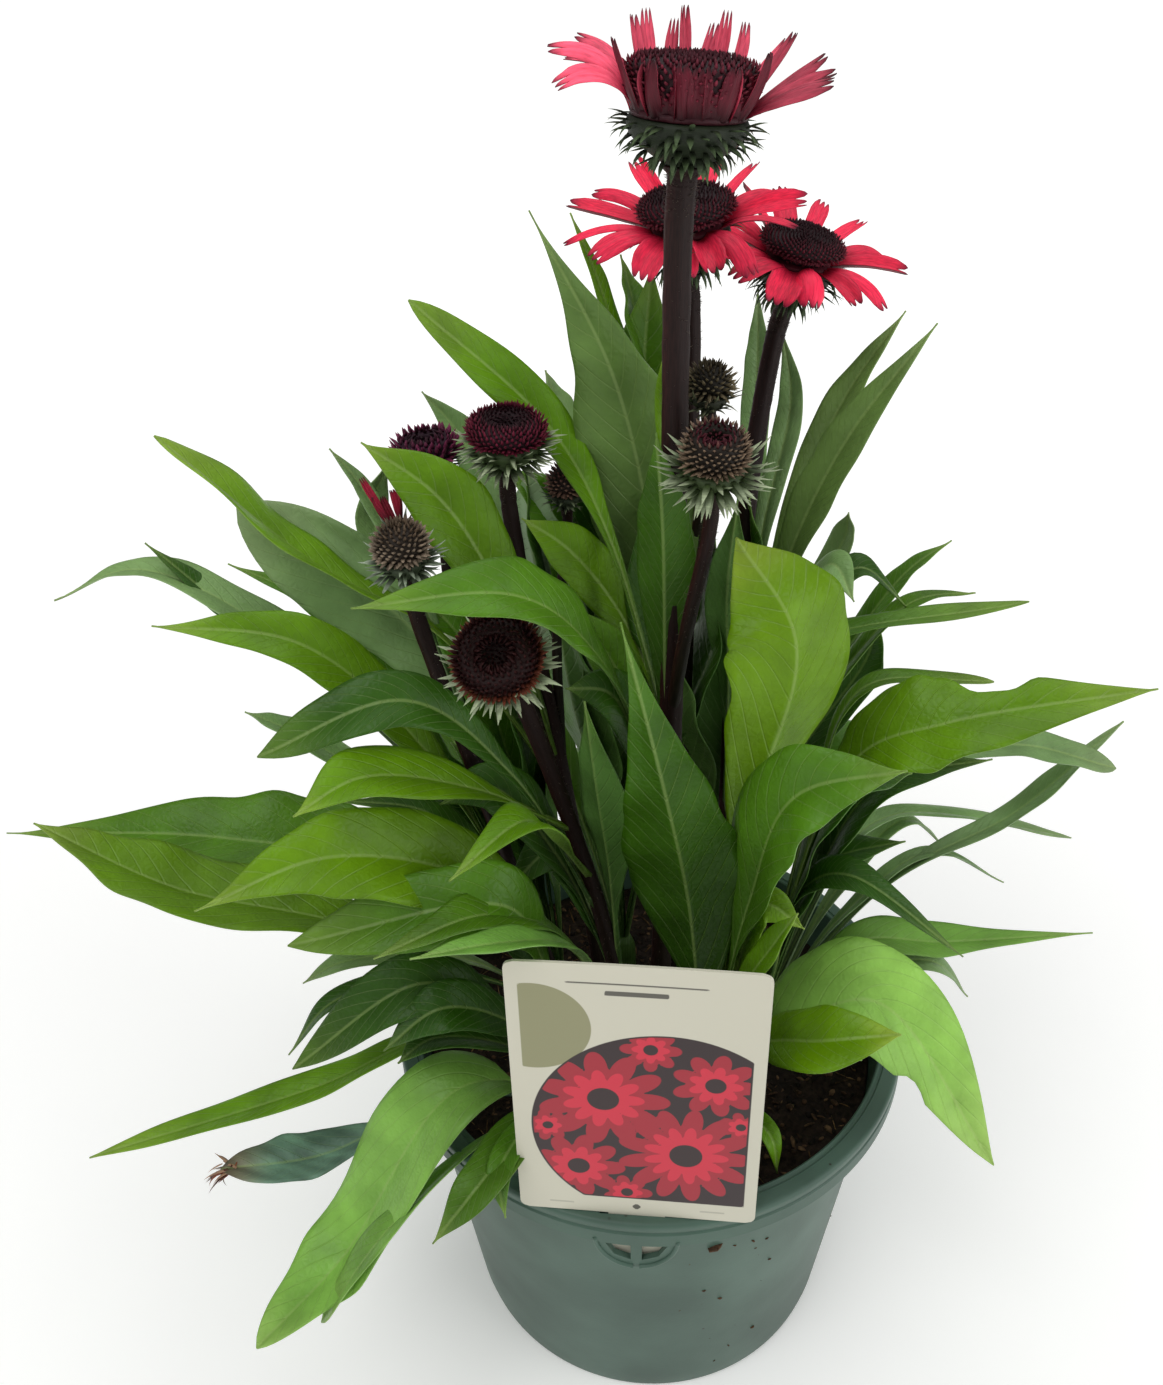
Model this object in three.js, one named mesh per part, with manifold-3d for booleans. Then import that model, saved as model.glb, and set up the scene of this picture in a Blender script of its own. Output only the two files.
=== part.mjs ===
// Purple coneflower plant with crimson flowers, growing in a nursery pot with its plant label.
// Millimetres, +Z up. The origin is the centre of the pot's flat underside; the label stands in front, at -Y.
import * as THREE from "three";
import { mergeVertices } from "three/addons/utils/BufferGeometryUtils.js";
import Module from "manifold-3d";

const wasm = await Module();
wasm.setup();
const { Manifold, Mesh: SolidMesh } = wasm;

// ---------- driving dimensions ----------

const POT = {
  height: 140,
  rimRadius: 95, // outside of the lip
  lipWidth: 8, // lip, from the wall's inner face to its outer edge
  lip: 5, // thickness of the lip's top
  skirt: 11, // how far the lip's edge turns down
  baseRadius: 74,
  wall: 2,
  floor: 3,
  edge: 1.5, // softened edges
  sectors: 30,
  drainHoles: 8,
  drainRadius: 5,
  drainCircle: 56,
};
// Label holder under the lip; its window is a triangle from near to far in x and from down to up in z.
const POCKET = { halfWidth: 14, drop: 14, thickness: 2, web: 1.6, window: [2.5, 9, -9.5, -3] };
const SLOT = { width: 24, gap: 1.6, depth: 14 };
const LABEL = {
  width: 74.5, height: 107, thickness: 0.9, corner: 3,
  tongue: 20, tongueWidth: 18, seat: 0.4, y: -90.4, yaw: -1, lean: -2,
};
const SOIL = {
  level: 120, lump: 1.2, clearance: 0.7, hole: 0.7, holeDepth: 12,
  sectors: 18, shares: [0.8, 0.5, 0.2],
};
const BLADE = {
  edge: 0.7, // thickness at the margin
  rib: 1.3, // thickness along the midrib
  petiole: 2.6, // thickness of the stalk
  stalk: 1.5, // half-width of the stalk where it leaves the stem
  fold: 0.25, // how far the halves fold up, as a share of half the width
  bulge: 0.16, // how far the stalk bows up, as a share of its span
  start: 0.2, // where the blade starts along the whole leaf
  widest: 0.48,
  taper: 1.3,
  tip: 0.4, // half-width at the very tip
  wave: 0.05, // unevenness of the margin, as a share of half the width
  step: 22, // length of one section
};
// The short crown that a tuft's leaves grow from.
const TUFT = { radius: 5.5, top: 137, sides: 8 };
// Sections along a stem and along a branch, and the share of its length where the stem starts to widen.
const STEM = { sections: 9, widens: 0.93 };
const BRANCH = { sections: 6, sides: 5, widens: 0.85 };
// The cup under a head: where its side is full, where its bracts start and how far they reach up its side;
// then a hooked bract's share before its bend and its width there.
const CUP = { full: 0.85, from: 0.2, span: 0.72, shoulder: 0.5, bend: 0.55, waist: 0.4 };
// A ray: the hub's height, half its thickness, the notch in its tip, and its sections along its length with
// their share of the full width.
const RAY = { hub: 1.5, thin: 0.35, notch: 3, stations: [0.34, 0.7, 1], shares: [0.92, 1, 0.78] };
const GAP = 0.3; // between the pieces of a head
const TOLERANCE = 0.1; // faces closer to flat than this are joined
const SCRAP = 0.5; // loose bits under this volume are dropped

// ---------- small helpers ----------

const vec = (x, y, z) => new THREE.Vector3(x, y, z);
const rad = THREE.MathUtils.degToRad;
const Z = vec(0, 0, 1);

// A solid from a list of points and triangles.
function solidFrom(points, triangles) {
  const vertProperties = new Float32Array(points.flatMap((p) => [p.x, p.y, p.z]));
  return new Manifold(new SolidMesh({
    numProp: 3, vertProperties, triVerts: new Uint32Array(triangles.flat()),
  }));
}

// A solid from a closed three.js geometry.
function solidOf(geometry) {
  geometry.deleteAttribute("normal");
  geometry.deleteAttribute("uv");
  const { attributes, index } = mergeVertices(geometry);
  return new Manifold(new SolidMesh({
    numProp: 3, vertProperties: attributes.position.array, triVerts: index.array,
  }));
}

const box = (w, d, h) => solidOf(new THREE.BoxGeometry(w, d, h));

// An upright cylinder about the origin.
const cylinder = (radius, height, sectors) =>
  solidOf(new THREE.CylinderGeometry(radius, radius, height, sectors).rotateX(Math.PI / 2));

// A plate of one outline drawn in x and z, its thickness centred on y = 0.
const plate = (shape, thickness, curveSegments) =>
  solidOf(new THREE.ExtrudeGeometry(shape, { depth: thickness, bevelEnabled: false, curveSegments })
    .translate(0, 0, -thickness / 2).rotateX(Math.PI / 2));

// A solid skinned over rings of points that run anticlockwise seen from its far end.
function loft(rings) {
  const n = rings[0].length;
  const last = (rings.length - 1) * n;
  const faces = [];
  for (let k = 0; k < rings.length - 1; k++)
    for (let i = 0; i < n; i++) {
      const a = k * n + i, b = k * n + ((i + 1) % n);
      faces.push([a, b, b + n], [a, b + n, a + n]);
    }
  for (let i = 1; i < n - 1; i++)
    faces.push([0, i + 1, i], [last, last + i, last + i + 1]);
  return solidFrom(rings.flat(), faces);
}

// A turned solid: its profile [radius, z] runs from the axis at the bottom to the axis at the top.
// A third value raises every second point of that ring, in a chequer, by that much.
function turned(profile, sectors) {
  const side = profile.slice(1, -1);
  const points = side.flatMap(([r, z, bump = 0], k) => {
    const [r0, z0] = profile[k], [r1, z1] = profile[k + 2];
    const slope = Math.atan2(z1 - z0, r1 - r0);
    return Array.from({ length: sectors }, (_, j) => {
      const a = (2 * Math.PI * (j + 0.5 * (k % 2))) / sectors;
      const lift = bump * ((j + (k >> 1)) % 2);
      const q = r + lift * Math.sin(slope);
      return vec(q * Math.cos(a), q * Math.sin(a), z - lift * Math.cos(slope));
    });
  });
  const faces = [];
  for (let k = 0; k < side.length - 1; k++)
    for (let j = 0; j < sectors; j++) {
      const a = k * sectors + j, b = k * sectors + ((j + 1) % sectors);
      if (k % 2) faces.push([a, b, b + sectors], [a, b + sectors, a + sectors]);
      else faces.push([a, b, a + sectors], [b, b + sectors, a + sectors]);
    }
  const bottom = points.length, top = bottom + 1;
  points.push(vec(0, 0, profile[0][1]), vec(0, 0, profile.at(-1)[1]));
  const up = (side.length - 1) * sectors;
  for (let j = 0; j < sectors; j++) {
    const i = (j + 1) % sectors;
    faces.push([bottom, i, j], [top, up + j, up + i]);
  }
  return solidFrom(points, faces);
}

const union = (solids) => Manifold.union(solids);

// A named mesh from one solid, which must hold together.
function part(name, solid, { color, roughness = 0.6, metalness = 0 }) {
  const whole = solid.simplify(TOLERANCE);
  const pieces = whole.decompose().filter((s) => s.volume() > SCRAP);
  if (pieces.length !== 1) console.warn(`${name}: ${pieces.length} bodies`);
  const mesh = pieces.sort((a, b) => b.volume() - a.volume())[0].getMesh();
  const geometry = new THREE.BufferGeometry();
  geometry.setAttribute("position", new THREE.BufferAttribute(mesh.vertProperties, 3));
  geometry.setIndex(new THREE.BufferAttribute(mesh.triVerts, 1));
  const flat = geometry.toNonIndexed();
  flat.computeVertexNormals();
  const made = new THREE.Mesh(flat, new THREE.MeshStandardMaterial({ color, roughness, metalness }));
  made.name = name;
  return made;
}

// ---------- pot, soil and label ----------

const wallRadius = (z) => THREE.MathUtils.lerp(POT.baseRadius, POT.rimRadius - POT.lipWidth + POT.wall,
  z / POT.height);

// A pot turned from one profile, with drain holes in its floor and the label's slit in its lip.
function potSolid() {
  const { height, rimRadius, skirt, wall, floor, baseRadius, sectors, edge } = POT;
  const inner = (z) => wallRadius(z) - wall;
  const profile = [
    [0, 0], [baseRadius - edge, 0], [baseRadius, edge],
    [wallRadius(height - POT.lip), height - POT.lip], [rimRadius - wall, height - POT.lip],
    [rimRadius - wall, height - skirt], [rimRadius, height - skirt],
    [rimRadius, height - edge], [rimRadius - edge, height], [inner(height), height],
    [inner(floor + edge), floor + edge], [inner(floor) - edge, floor], [0, floor],
  ].map(([r, z]) => new THREE.Vector2(r, z));
  const body = solidOf(new THREE.LatheGeometry(profile, sectors).rotateX(Math.PI / 2));
  const drain = cylinder(POT.drainRadius, floor * 4, 6);
  const holes = Array.from({ length: POT.drainHoles }, (_, i) => {
    const a = (2 * Math.PI * (i + 0.5)) / POT.drainHoles;
    return drain.translate(POT.drainCircle * Math.cos(a), POT.drainCircle * Math.sin(a), 0);
  });
  const slit = box(SLOT.width, SLOT.gap, SLOT.depth).translate(0, LABEL.y, height - SLOT.depth / 2 + 2);
  return union([body, pocketSolid()]).subtract(union([...holes, slit]));
}

// A half-round apron under the lip with two triangular windows, held to the wall by a web at each side.
function pocketSolid() {
  const { halfWidth, drop, thickness, web, window: [near, far, down, up] } = POCKET;
  const top = POT.height - POT.skirt + 2;
  const middle = -(POT.rimRadius - 0.4) + thickness / 2;
  const apron = new THREE.Shape();
  apron.absellipse(0, 0, halfWidth, drop, Math.PI, 2 * Math.PI);
  apron.closePath();
  for (const side of [1, -1])
    apron.holes.push(new THREE.Path([[near, down], [far, up], [near, up]]
      .map(([x, z]) => new THREE.Vector2(side * x, z))).closePath());
  const webs = [-1, 1].map((side) => box(web, 10, 7)
    .translate(side * (halfWidth - 2), middle + 5 - thickness / 2, top - 3));
  return union([plate(apron, thickness, 6).translate(0, middle, top), ...webs]);
}

// A lumpy fill of the pot, with a plain hole for each stem and tuft.
function soilSolid(stubs) {
  const { level, lump, clearance, hole, holeDepth, sectors, shares } = SOIL;
  const inner = (z) => wallRadius(z) - POT.wall - clearance;
  const rough = (k, j) => lump * Math.sin(2.3 * j + 1.7 * k) * Math.cos(1.1 * j * k + k);
  const low = POT.floor + POT.edge;
  const rings = [
    [inner(POT.floor) - POT.edge, POT.floor], [inner(low), low], [inner(level), level],
    ...shares.map((share) => [share * inner(level), level]),
  ].map(([r, z], k) => Array.from({ length: sectors }, (_, j) => {
    const a = (2 * Math.PI * j) / sectors;
    return vec(r * Math.cos(a), r * Math.sin(a), k > 2 ? z + rough(k, j) : z);
  }));
  const holes = stubs.map(({ root, radius }) => cylinder(radius + hole, 2 * holeDepth, 8)
    .translate(root.x, root.y, level));
  return loft(rings).subtract(union(holes));
}

// A card with round corners on a narrower tongue.
function labelSolid() {
  const { width, height, thickness, corner, tongue, tongueWidth, y, yaw, lean, seat } = LABEL;
  const w = width / 2, t = tongueWidth / 2, cut = 3;
  const shape = new THREE.Shape();
  shape.moveTo(-t + cut, -tongue);
  shape.lineTo(t - cut, -tongue);
  shape.lineTo(t, 2 * cut - tongue);
  shape.lineTo(t, seat);
  shape.absarc(w - corner, corner + seat, corner, -Math.PI / 2, 0);
  shape.absarc(w - corner, height - corner, corner, 0, Math.PI / 2);
  shape.absarc(-w + corner, height - corner, corner, Math.PI / 2, Math.PI);
  shape.absarc(-w + corner, corner + seat, corner, Math.PI, 1.5 * Math.PI);
  shape.lineTo(-t, seat);
  shape.lineTo(-t, 2 * cut - tongue);
  shape.closePath();
  return plate(shape, thickness, 2)
    .rotate([lean, 0, 0])
    .rotate([0, 0, yaw])
    .translate(0, y, POT.height);
}

// ---------- stems and leaves ----------

// A stalk of round section along a curve, cut square to `end` at its far end.
function stalk(curve, radii, sides, count, end) {
  return loft(Array.from({ length: count + 1 }, (_, k) => {
    const u = k / count;
    const centre = curve.getPoint(u);
    const along = k === count && end ? end : k ? curve.getTangent(u) : Z;
    const right = vec(1, 0, 0).cross(along).cross(along).negate().normalize();
    const front = along.clone().cross(right);
    const r = radii(u);
    return Array.from({ length: sides }, (_, i) => {
      const a = (2 * Math.PI * i) / sides;
      return centre.clone().addScaledVector(right, r * Math.cos(a)).addScaledVector(front, r * Math.sin(a));
    });
  }));
}

// Half-width of a blade as a share of its widest, s running from its base to its tip.
function bladeProfile(s) {
  const { widest, taper } = BLADE;
  const rise = (taper * widest) / (1 - widest);
  return (s ** rise * (1 - s) ** taper) / (widest ** rise * (1 - widest) ** taper);
}

// A leaf from its place on a stem over the middle of its blade to its tip.
// roll turns the blade about its midrib; the stalk bows up between the stem and the blade.
function leafSolid(base, [middle, tip, width, roll]) {
  const { edge, rib, petiole, stalk: stalkWidth, fold, bulge, start, tip: tipWidth, wave, step } = BLADE;
  const m = vec(...middle), t = vec(...tip);
  const elbow = base.clone().add(m).multiplyScalar(0.5).addScaledVector(Z, bulge * base.distanceTo(m));
  const curve = new THREE.CatmullRomCurve3([base, elbow, m, t]);
  let heading = t.clone().sub(elbow).setZ(0);
  const upright = heading.length() < 18; // a blade that stands up takes its heading from its stalk
  if (upright) heading = m.clone().sub(base).setZ(0);
  heading.normalize();
  const level = vec(-heading.y, heading.x, 0);
  const length = base.distanceTo(m) + m.distanceTo(t);
  const count = THREE.MathUtils.clamp(Math.round(length / step), 4, 6);
  const stations = Array.from({ length: count + 1 }, (_, k) => (k / count) ** 0.92);
  return loft(stations.map((u, k) => {
    const along = curve.getTangent(u);
    const flatSide = level.clone().addScaledVector(along, -level.dot(along)).normalize();
    const flatUp = along.clone().cross(flatSide);
    const turn = rad(roll) * Math.min(1, 3 * u);
    const side = flatSide.clone().multiplyScalar(Math.cos(turn)).addScaledVector(flatUp, Math.sin(turn));
    const up = flatUp.clone().multiplyScalar(Math.cos(turn)).addScaledVector(flatSide, -Math.sin(turn));
    const s = THREE.MathUtils.clamp((u - start) / (1 - start), 0, 1);
    const half = Math.max(tipWidth, stalkWidth * (1 - u) + (width / 2) * bladeProfile(s));
    const share = Math.min(1, u / start); // from stalk to blade
    const te = THREE.MathUtils.lerp(1.2, edge, share) / 2;
    const tr = THREE.MathUtils.lerp(petiole, rib, share) * (1 - 0.35 * s) / 2;
    const ripple = wave * half * Math.sin(2.1 * k + roll);
    const at = (y, z) => curve.getPoint(u).addScaledVector(side, y).addScaledVector(up, z);
    const lift = fold * half;
    return [
      at(-half, lift + ripple - te), at(0, -tr), at(half, lift - ripple - te),
      at(half, lift - ripple + te), at(0, tr), at(-half, lift + ripple + te),
    ];
  }));
}

// Growth points: a round stub in the soil, the stem above it and the leaves it carries.
// Each leaf is [height on the stem, middle of the blade, tip, width, roll].
const SHOOTS = {
  stem_flower_1: {
    root: [4, -4], middle: [7, -6, 278], head: "flower_1", radius: 3.6, sides: 8,
    branches: [{ from: 275, middle: [11, -15, 310], head: "bud_2", radius: 2.1 }],
    leaves: [
      [262, [-26, -6, 378], [-62, 3, 399], 20, -30],
      [230, [-14, -3, 297], [-27, -1, 313], 14, -45],
      [238, [-36, -50, 348], [-71, -67, 346], 21, -30],
      [212, [-12, -22, 294], [-24, -24, 296], 15, -60],
    ],
  },
  stem_flower_2: {
    root: [8, 16], middle: [11, 31, 261], head: "flower_2", radius: 2.6, sides: 6,
    branches: [{ from: 300, middle: [15, 18, 340], head: "bud_1", radius: 1.8 }],
    leaves: [
      [230, [-13, 31, 365], [-36, 36, 418], 28, -60],
      [240, [-4, 55, 363], [-2, 60, 398], 17, 0],
      [235, [-31, 47, 356], [-35, 49, 368], 12, 0],
      [225, [-25, 9, 325], [-39, 8, 336], 16, -65],
      [215, [-1, 22, 308], [1, 25, 341], 18, -85],
    ],
  },
  stem_flower_3: {
    root: [28, 20], middle: [30, 53, 315], head: "flower_3", radius: 3.2, sides: 6,
    leaves: [
      [200, [24, 21, 306], [26, 25, 335], 16, 0],
      [225, [59, 31, 352], [80, 29, 388], 24, 55],
      [235, [63, 65, 354], [78, 71, 380], 18, 15],
      [212, [54, 2, 326], [60, -6, 317], 12, 30],
      [205, [68, 45, 304], [86, 43, 288], 14, 15],
      [170, [81, 45, 284], [108, 46, 293], 15, 0],
    ],
  },
  stem_bud_3: {
    root: [-16, 2], middle: [-27, -4, 237], head: "bud_3", radius: 2.5, sides: 6,
    branches: [
      { from: 250, middle: [-30, 12, 300], head: "bud_5", radius: 1.6 },
      { from: 262, middle: [-60, 6, 308], head: "bud_7", radius: 1.6 },
    ],
    leaves: [
      [240, [-106, -2, 330], [-143, -4, 366], 19, 0],
      [250, [-61, -3, 347], [-82, -3, 364], 22, -50],
      [235, [-65, 52, 345], [-76, 52, 360], 12, 0],
    ],
  },
  stem_bud_6: {
    root: [-26, -14], middle: [-47, -18, 226], head: "bud_6", radius: 2.4, sides: 6,
    branches: [
      { from: 250, middle: [-62, 6, 290], head: "bud_4", radius: 1.8 },
    ],
    leaves: [
      [215, [-109, 11, 319], [-129, 13, 338], 26, -35],
      [185, [-131, 1, 311], [-157, 4, 328], 17, 0],
      [200, [-138, 1, 321], [-180, -14, 317], 18, 0],
      [192, [-112, 16, 301], [-138, 18, 314], 10, 0],
      [165, [-97, -30, 312], [-138, -40, 324], 25, -35],
      [215, [-91, 29, 327], [-84, 31, 345], 12, 0],
    ],
  },
  stem_bud_8: {
    root: [-4, -24], middle: [-16, -27, 215], head: "bud_8", radius: 2.6, sides: 6,
    leaves: [
      [205, [-79, -49, 306], [-104, -61, 298], 20, -45],
      [185, [-66, -65, 299], [-91, -80, 291], 18, -20],
      [168, [-88, -72, 269], [-121, -88, 262], 25, -40],
      [150, [-46, -75, 252], [-71, -93, 252], 17, -5],
      [190, [-34, -66, 282], [-50, -84, 273], 13, -5],
      [175, [-48, -30, 263], [-64, -32, 257], 16, -40],
      [150, [-30, -21, 231], [-48, -30, 216], 16, -45],
      [170, [-14, -34, 262], [-17, -38, 301], 19, -5],
    ],
  },
  leaf_tuft_left: {
    root: [-34, 8],
    leaves: [
      [130, [-120, -1, 261], [-135, 0, 268], 15, 0],
      [134, [-153, -4, 222], [-227, 0, 219], 33, -25],
      [124, [-110, -17, 170], [-126, -21, 162], 11, 0],
      [124, [-110, -32, 166], [-129, -39, 144], 9, 0],
      [132, [-92, 62, 232], [-138, 86, 210], 26, 10],
      [126, [-78, 52, 188], [-118, 74, 158], 24, 0],
    ],
  },
  leaf_tuft_front_left: {
    root: [-22, -36],
    leaves: [
      [132, [-151, -45, 229], [-192, -43, 253], 24, 0],
      [134, [-76, -68, 244], [-101, -79, 240], 18, -20],
      [128, [-62, -67, 204], [-81, -71, 188], 16, -25],
      [130, [-50, -40, 230], [-65, -45, 250], 17, -50],
      [128, [-130, -64, 153], [-188, -80, 136], 15, 0],
      [126, [-86, -59, 189], [-112, -72, 177], 19, -25],
      [128, [-78, -101, 170], [-119, -123, 106], 29, 0],
      [126, [-112, -80, 148], [-144, -81, 136], 14, 0],
      [124, [-75, -94, 139], [-106, -110, 96], 18, 0],
      [124, [-53, -99, 165], [-62, -109, 146], 13, 0],
    ],
  },
  leaf_tuft_front_right: {
    root: [22, -36],
    leaves: [
      [136, [43, -56, 284], [69, -65, 300], 27, 55],
      [134, [42, -34, 320], [24, -22, 345], 34, -75],
      [128, [93, -41, 178], [117, -63, 139], 29, 30],
      [126, [55, -73, 205], [76, -77, 214], 18, 35],
      [124, [40, -56, 227], [46, -56, 240], 10, 45],
      [130, [7, -52, 277], [-5, -61, 340], 30, 50],
      [126, [38, -41, 229], [50, -45, 223], 13, 50],
    ],
  },
  leaf_tuft_right: {
    root: [42, 0],
    leaves: [
      [136, [87, 27, 292], [122, 33, 297], 15, 0],
      [134, [81, 14, 274], [111, 17, 275], 15, 0],
      [132, [94, -15, 280], [148, -15, 295], 27, 25],
      [130, [69, -10, 246], [97, -7, 262], 19, 5],
      [130, [136, 34, 239], [164, 37, 228], 17, 0],
      [128, [134, 44, 204], [168, 48, 241], 9, -5],
      [126, [114, 52, 197], [164, 57, 179], 9, -15],
      [126, [67, -15, 219], [106, -24, 199], 19, 20],
      [124, [104, 11, 167], [164, 17, 167], 22, 0],
    ],
  },
  leaf_tuft_back_right: {
    root: [30, 46],
    leaves: [
      [132, [34, 102, 351], [33, 106, 379], 9, 0],
      [128, [77, 60, 257], [80, 61, 274], 16, 35],
      [130, [52, 100, 240], [74, 142, 214], 27, 0],
      [126, [84, 84, 206], [116, 114, 176], 24, -10],
      [124, [48, 92, 178], [62, 132, 142], 24, 0],
    ],
  },
  leaf_tuft_back: {
    root: [-12, 36],
    leaves: [
      [130, [-62, 84, 236], [-96, 118, 215], 26, 0],
      [132, [-20, 104, 250], [-30, 152, 228], 28, 10],
      [128, [12, 98, 205], [22, 146, 172], 26, -10],
      [124, [-40, 92, 182], [-58, 128, 146], 24, 0],
    ],
  },
};

// Flower heads and buds: where the stem ends, which way the head looks, and its sizes.
// cup is [radius, height] of the green base; bracts are [rows, per row, length, rise of the lowest row, rise of
// the highest row, curl]; florets give the dome or the dished disc.
const HEADS = {
  flower_1: {
    base: [8, -9, 436.5], axis: [0.08, 0, 1], cup: [14.6, 10], neck: 5.4,
    bracts: [3, 13, 6.5, -30, 0, -55],
    dome: [[12.4, 0], [12.6, 5, 0.8], [12.4, 10, 0.8], [10.8, 13, 0.9], [6.6, 14.4, 0.9], [2.6, 14.2, 0.5]],
    rays: { count: 18, width: 6, seat: 13.6, form: halfOpen },
  },
  flower_2: {
    base: [9.7, 47, 398.1], axis: [-0.08, -0.2, 1], cup: [12.6, 12], neck: 3.6,
    bracts: [2, 13, 8, -35, -5, -40],
    dome: [
      [9, 0], [9, 2.6], [14.4, 4.6, 0.8], [14.8, 6.2, 0.9], [13.2, 8.2, 0.9], [9.8, 9.8, 0.9], [5.3, 10.8, 0.8],
      [2, 11.1, 0.4],
    ],
    rays: { count: 13, width: 9.5, seat: 10.4, form: fullyOpen },
  },
  flower_3: {
    base: [40.8, 79, 381.4], axis: [0.26, -0.2, 1], cup: [12, 12], neck: 4.4,
    bracts: [2, 13, 8.5, -35, -5, -40],
    dome: [
      [9, 0], [9, 2.6], [13.5, 4.5, 0.8], [13.9, 6, 0.9], [12.5, 7.9, 0.9], [9.2, 9.4, 0.9], [5, 10.3, 0.8],
      [1.8, 10.6, 0.4],
    ],
    rays: { count: 12, width: 9.5, seat: 10.4, form: fullyOpen },
  },
  bud_1: {
    base: [16, 7, 370], axis: [0, -0.1, 1], cup: [5.6, 5], neck: 2.2,
    bracts: [2, 9, 5.5, 5, 40, 0], ball: [6.4, 8],
  },
  bud_2: {
    base: [17.3, -22, 359.4], axis: [0.02, -0.22, 1], cup: [8.6, 7], neck: 3,
    bracts: [3, 11, 7, -40, 12, 0], disc: [10.8, 9],
  },
  bud_3: {
    base: [-42.7, 11.3, 351], axis: [0.05, -0.12, 1], cup: [10, 9], neck: 3.4,
    bracts: [3, 11, 6, -25, 15, 0], disc: [12.4, 9],
  },
  bud_4: {
    base: [-70.5, 31, 338.5], axis: [-0.1, -0.05, 1], cup: [8, 7], neck: 2.6,
    bracts: [2, 9, 5, -20, 10, 0], disc: [10.6, 7.5],
  },
  bud_5: {
    base: [-27, 24, 333], axis: [0, -0.1, 1], cup: [5, 4.5], neck: 2,
    bracts: [2, 8, 4, -10, 25, 0], ball: [6.2, 9.5],
  },
  bud_6: {
    base: [-66.8, -26.4, 334.3], axis: [-0.05, -0.15, 1], cup: [7, 6], neck: 3,
    bracts: [2, 9, 6, -30, 10, 0], ball: [8.8, 11],
  },
  bud_7: {
    base: [-75, 4, 330], axis: [-0.35, 0.1, 1], cup: [5, 5], neck: 2,
    bracts: [2, 8, 4.5, -10, 20, 0], rays: { count: 6, width: 4, seat: 3.4, form: closed },
  },
  bud_8: {
    base: [-38.4, -41, 312.8], axis: [-0.1, -0.84, 1], cup: [9, 7], neck: 3.2,
    bracts: [3, 11, 8.5, -45, 5, 0], disc: [12, 7.5],
  },
};

const axisOf = ({ axis }) => vec(...axis).normalize();

// The curve of a stem or branch, ending along its head's axis.
function stemCurve(start, middle, head) {
  const top = vec(...head.base);
  const below = top.clone().addScaledVector(axisOf(head), -12);
  return new THREE.CatmullRomCurve3([...start, vec(...middle), below, top]);
}

// The stem's centre at a height.
function pointAt(curve, z) {
  let low = 0, high = 1;
  for (let i = 0; i < 24; i++) {
    const mid = (low + high) / 2;
    if (curve.getPoint(mid).z < z) low = mid; else high = mid;
  }
  return curve.getPoint(low);
}

// A stem with its branches and leaves, or a tuft of leaves on a short crown, as one solid.
function shootSolid({ root, middle, head, radius, sides, branches = [], leaves }) {
  const foot = vec(...root, SOIL.level - SOIL.holeDepth);
  const solids = [];
  let curve;
  if (head) {
    const { neck } = HEADS[head];
    curve = stemCurve([foot, vec(...root, SOIL.level + 6)], middle, HEADS[head]);
    const thick = (u) => THREE.MathUtils.lerp(radius, neck, THREE.MathUtils.smoothstep(u, STEM.widens, 1));
    solids.push(stalk(curve, thick, sides, STEM.sections, axisOf(HEADS[head])));
  } else {
    curve = new THREE.LineCurve3(foot, vec(...root, TUFT.top));
    const r = TUFT.radius, tall = TUFT.top - foot.z;
    solids.push(turned([[0, 0], [r, 0], [r, tall - 5], [0.7 * r, tall - 1], [0, tall]], TUFT.sides)
      .translate(foot.x, foot.y, foot.z));
  }
  for (const { from, middle: via, head: name, radius: thin } of branches) {
    const { neck } = HEADS[name];
    const twig = stemCurve([pointAt(curve, from)], via, HEADS[name]);
    const thick = (u) => THREE.MathUtils.lerp(thin, neck, THREE.MathUtils.smoothstep(u, BRANCH.widens, 1));
    solids.push(stalk(twig, thick, BRANCH.sides, BRANCH.sections, axisOf(HEADS[name])));
  }
  for (const [z, ...shape] of leaves) solids.push(leafSolid(pointAt(curve, z), shape));
  return union(solids);
}

// ---------- flower heads ----------

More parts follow.
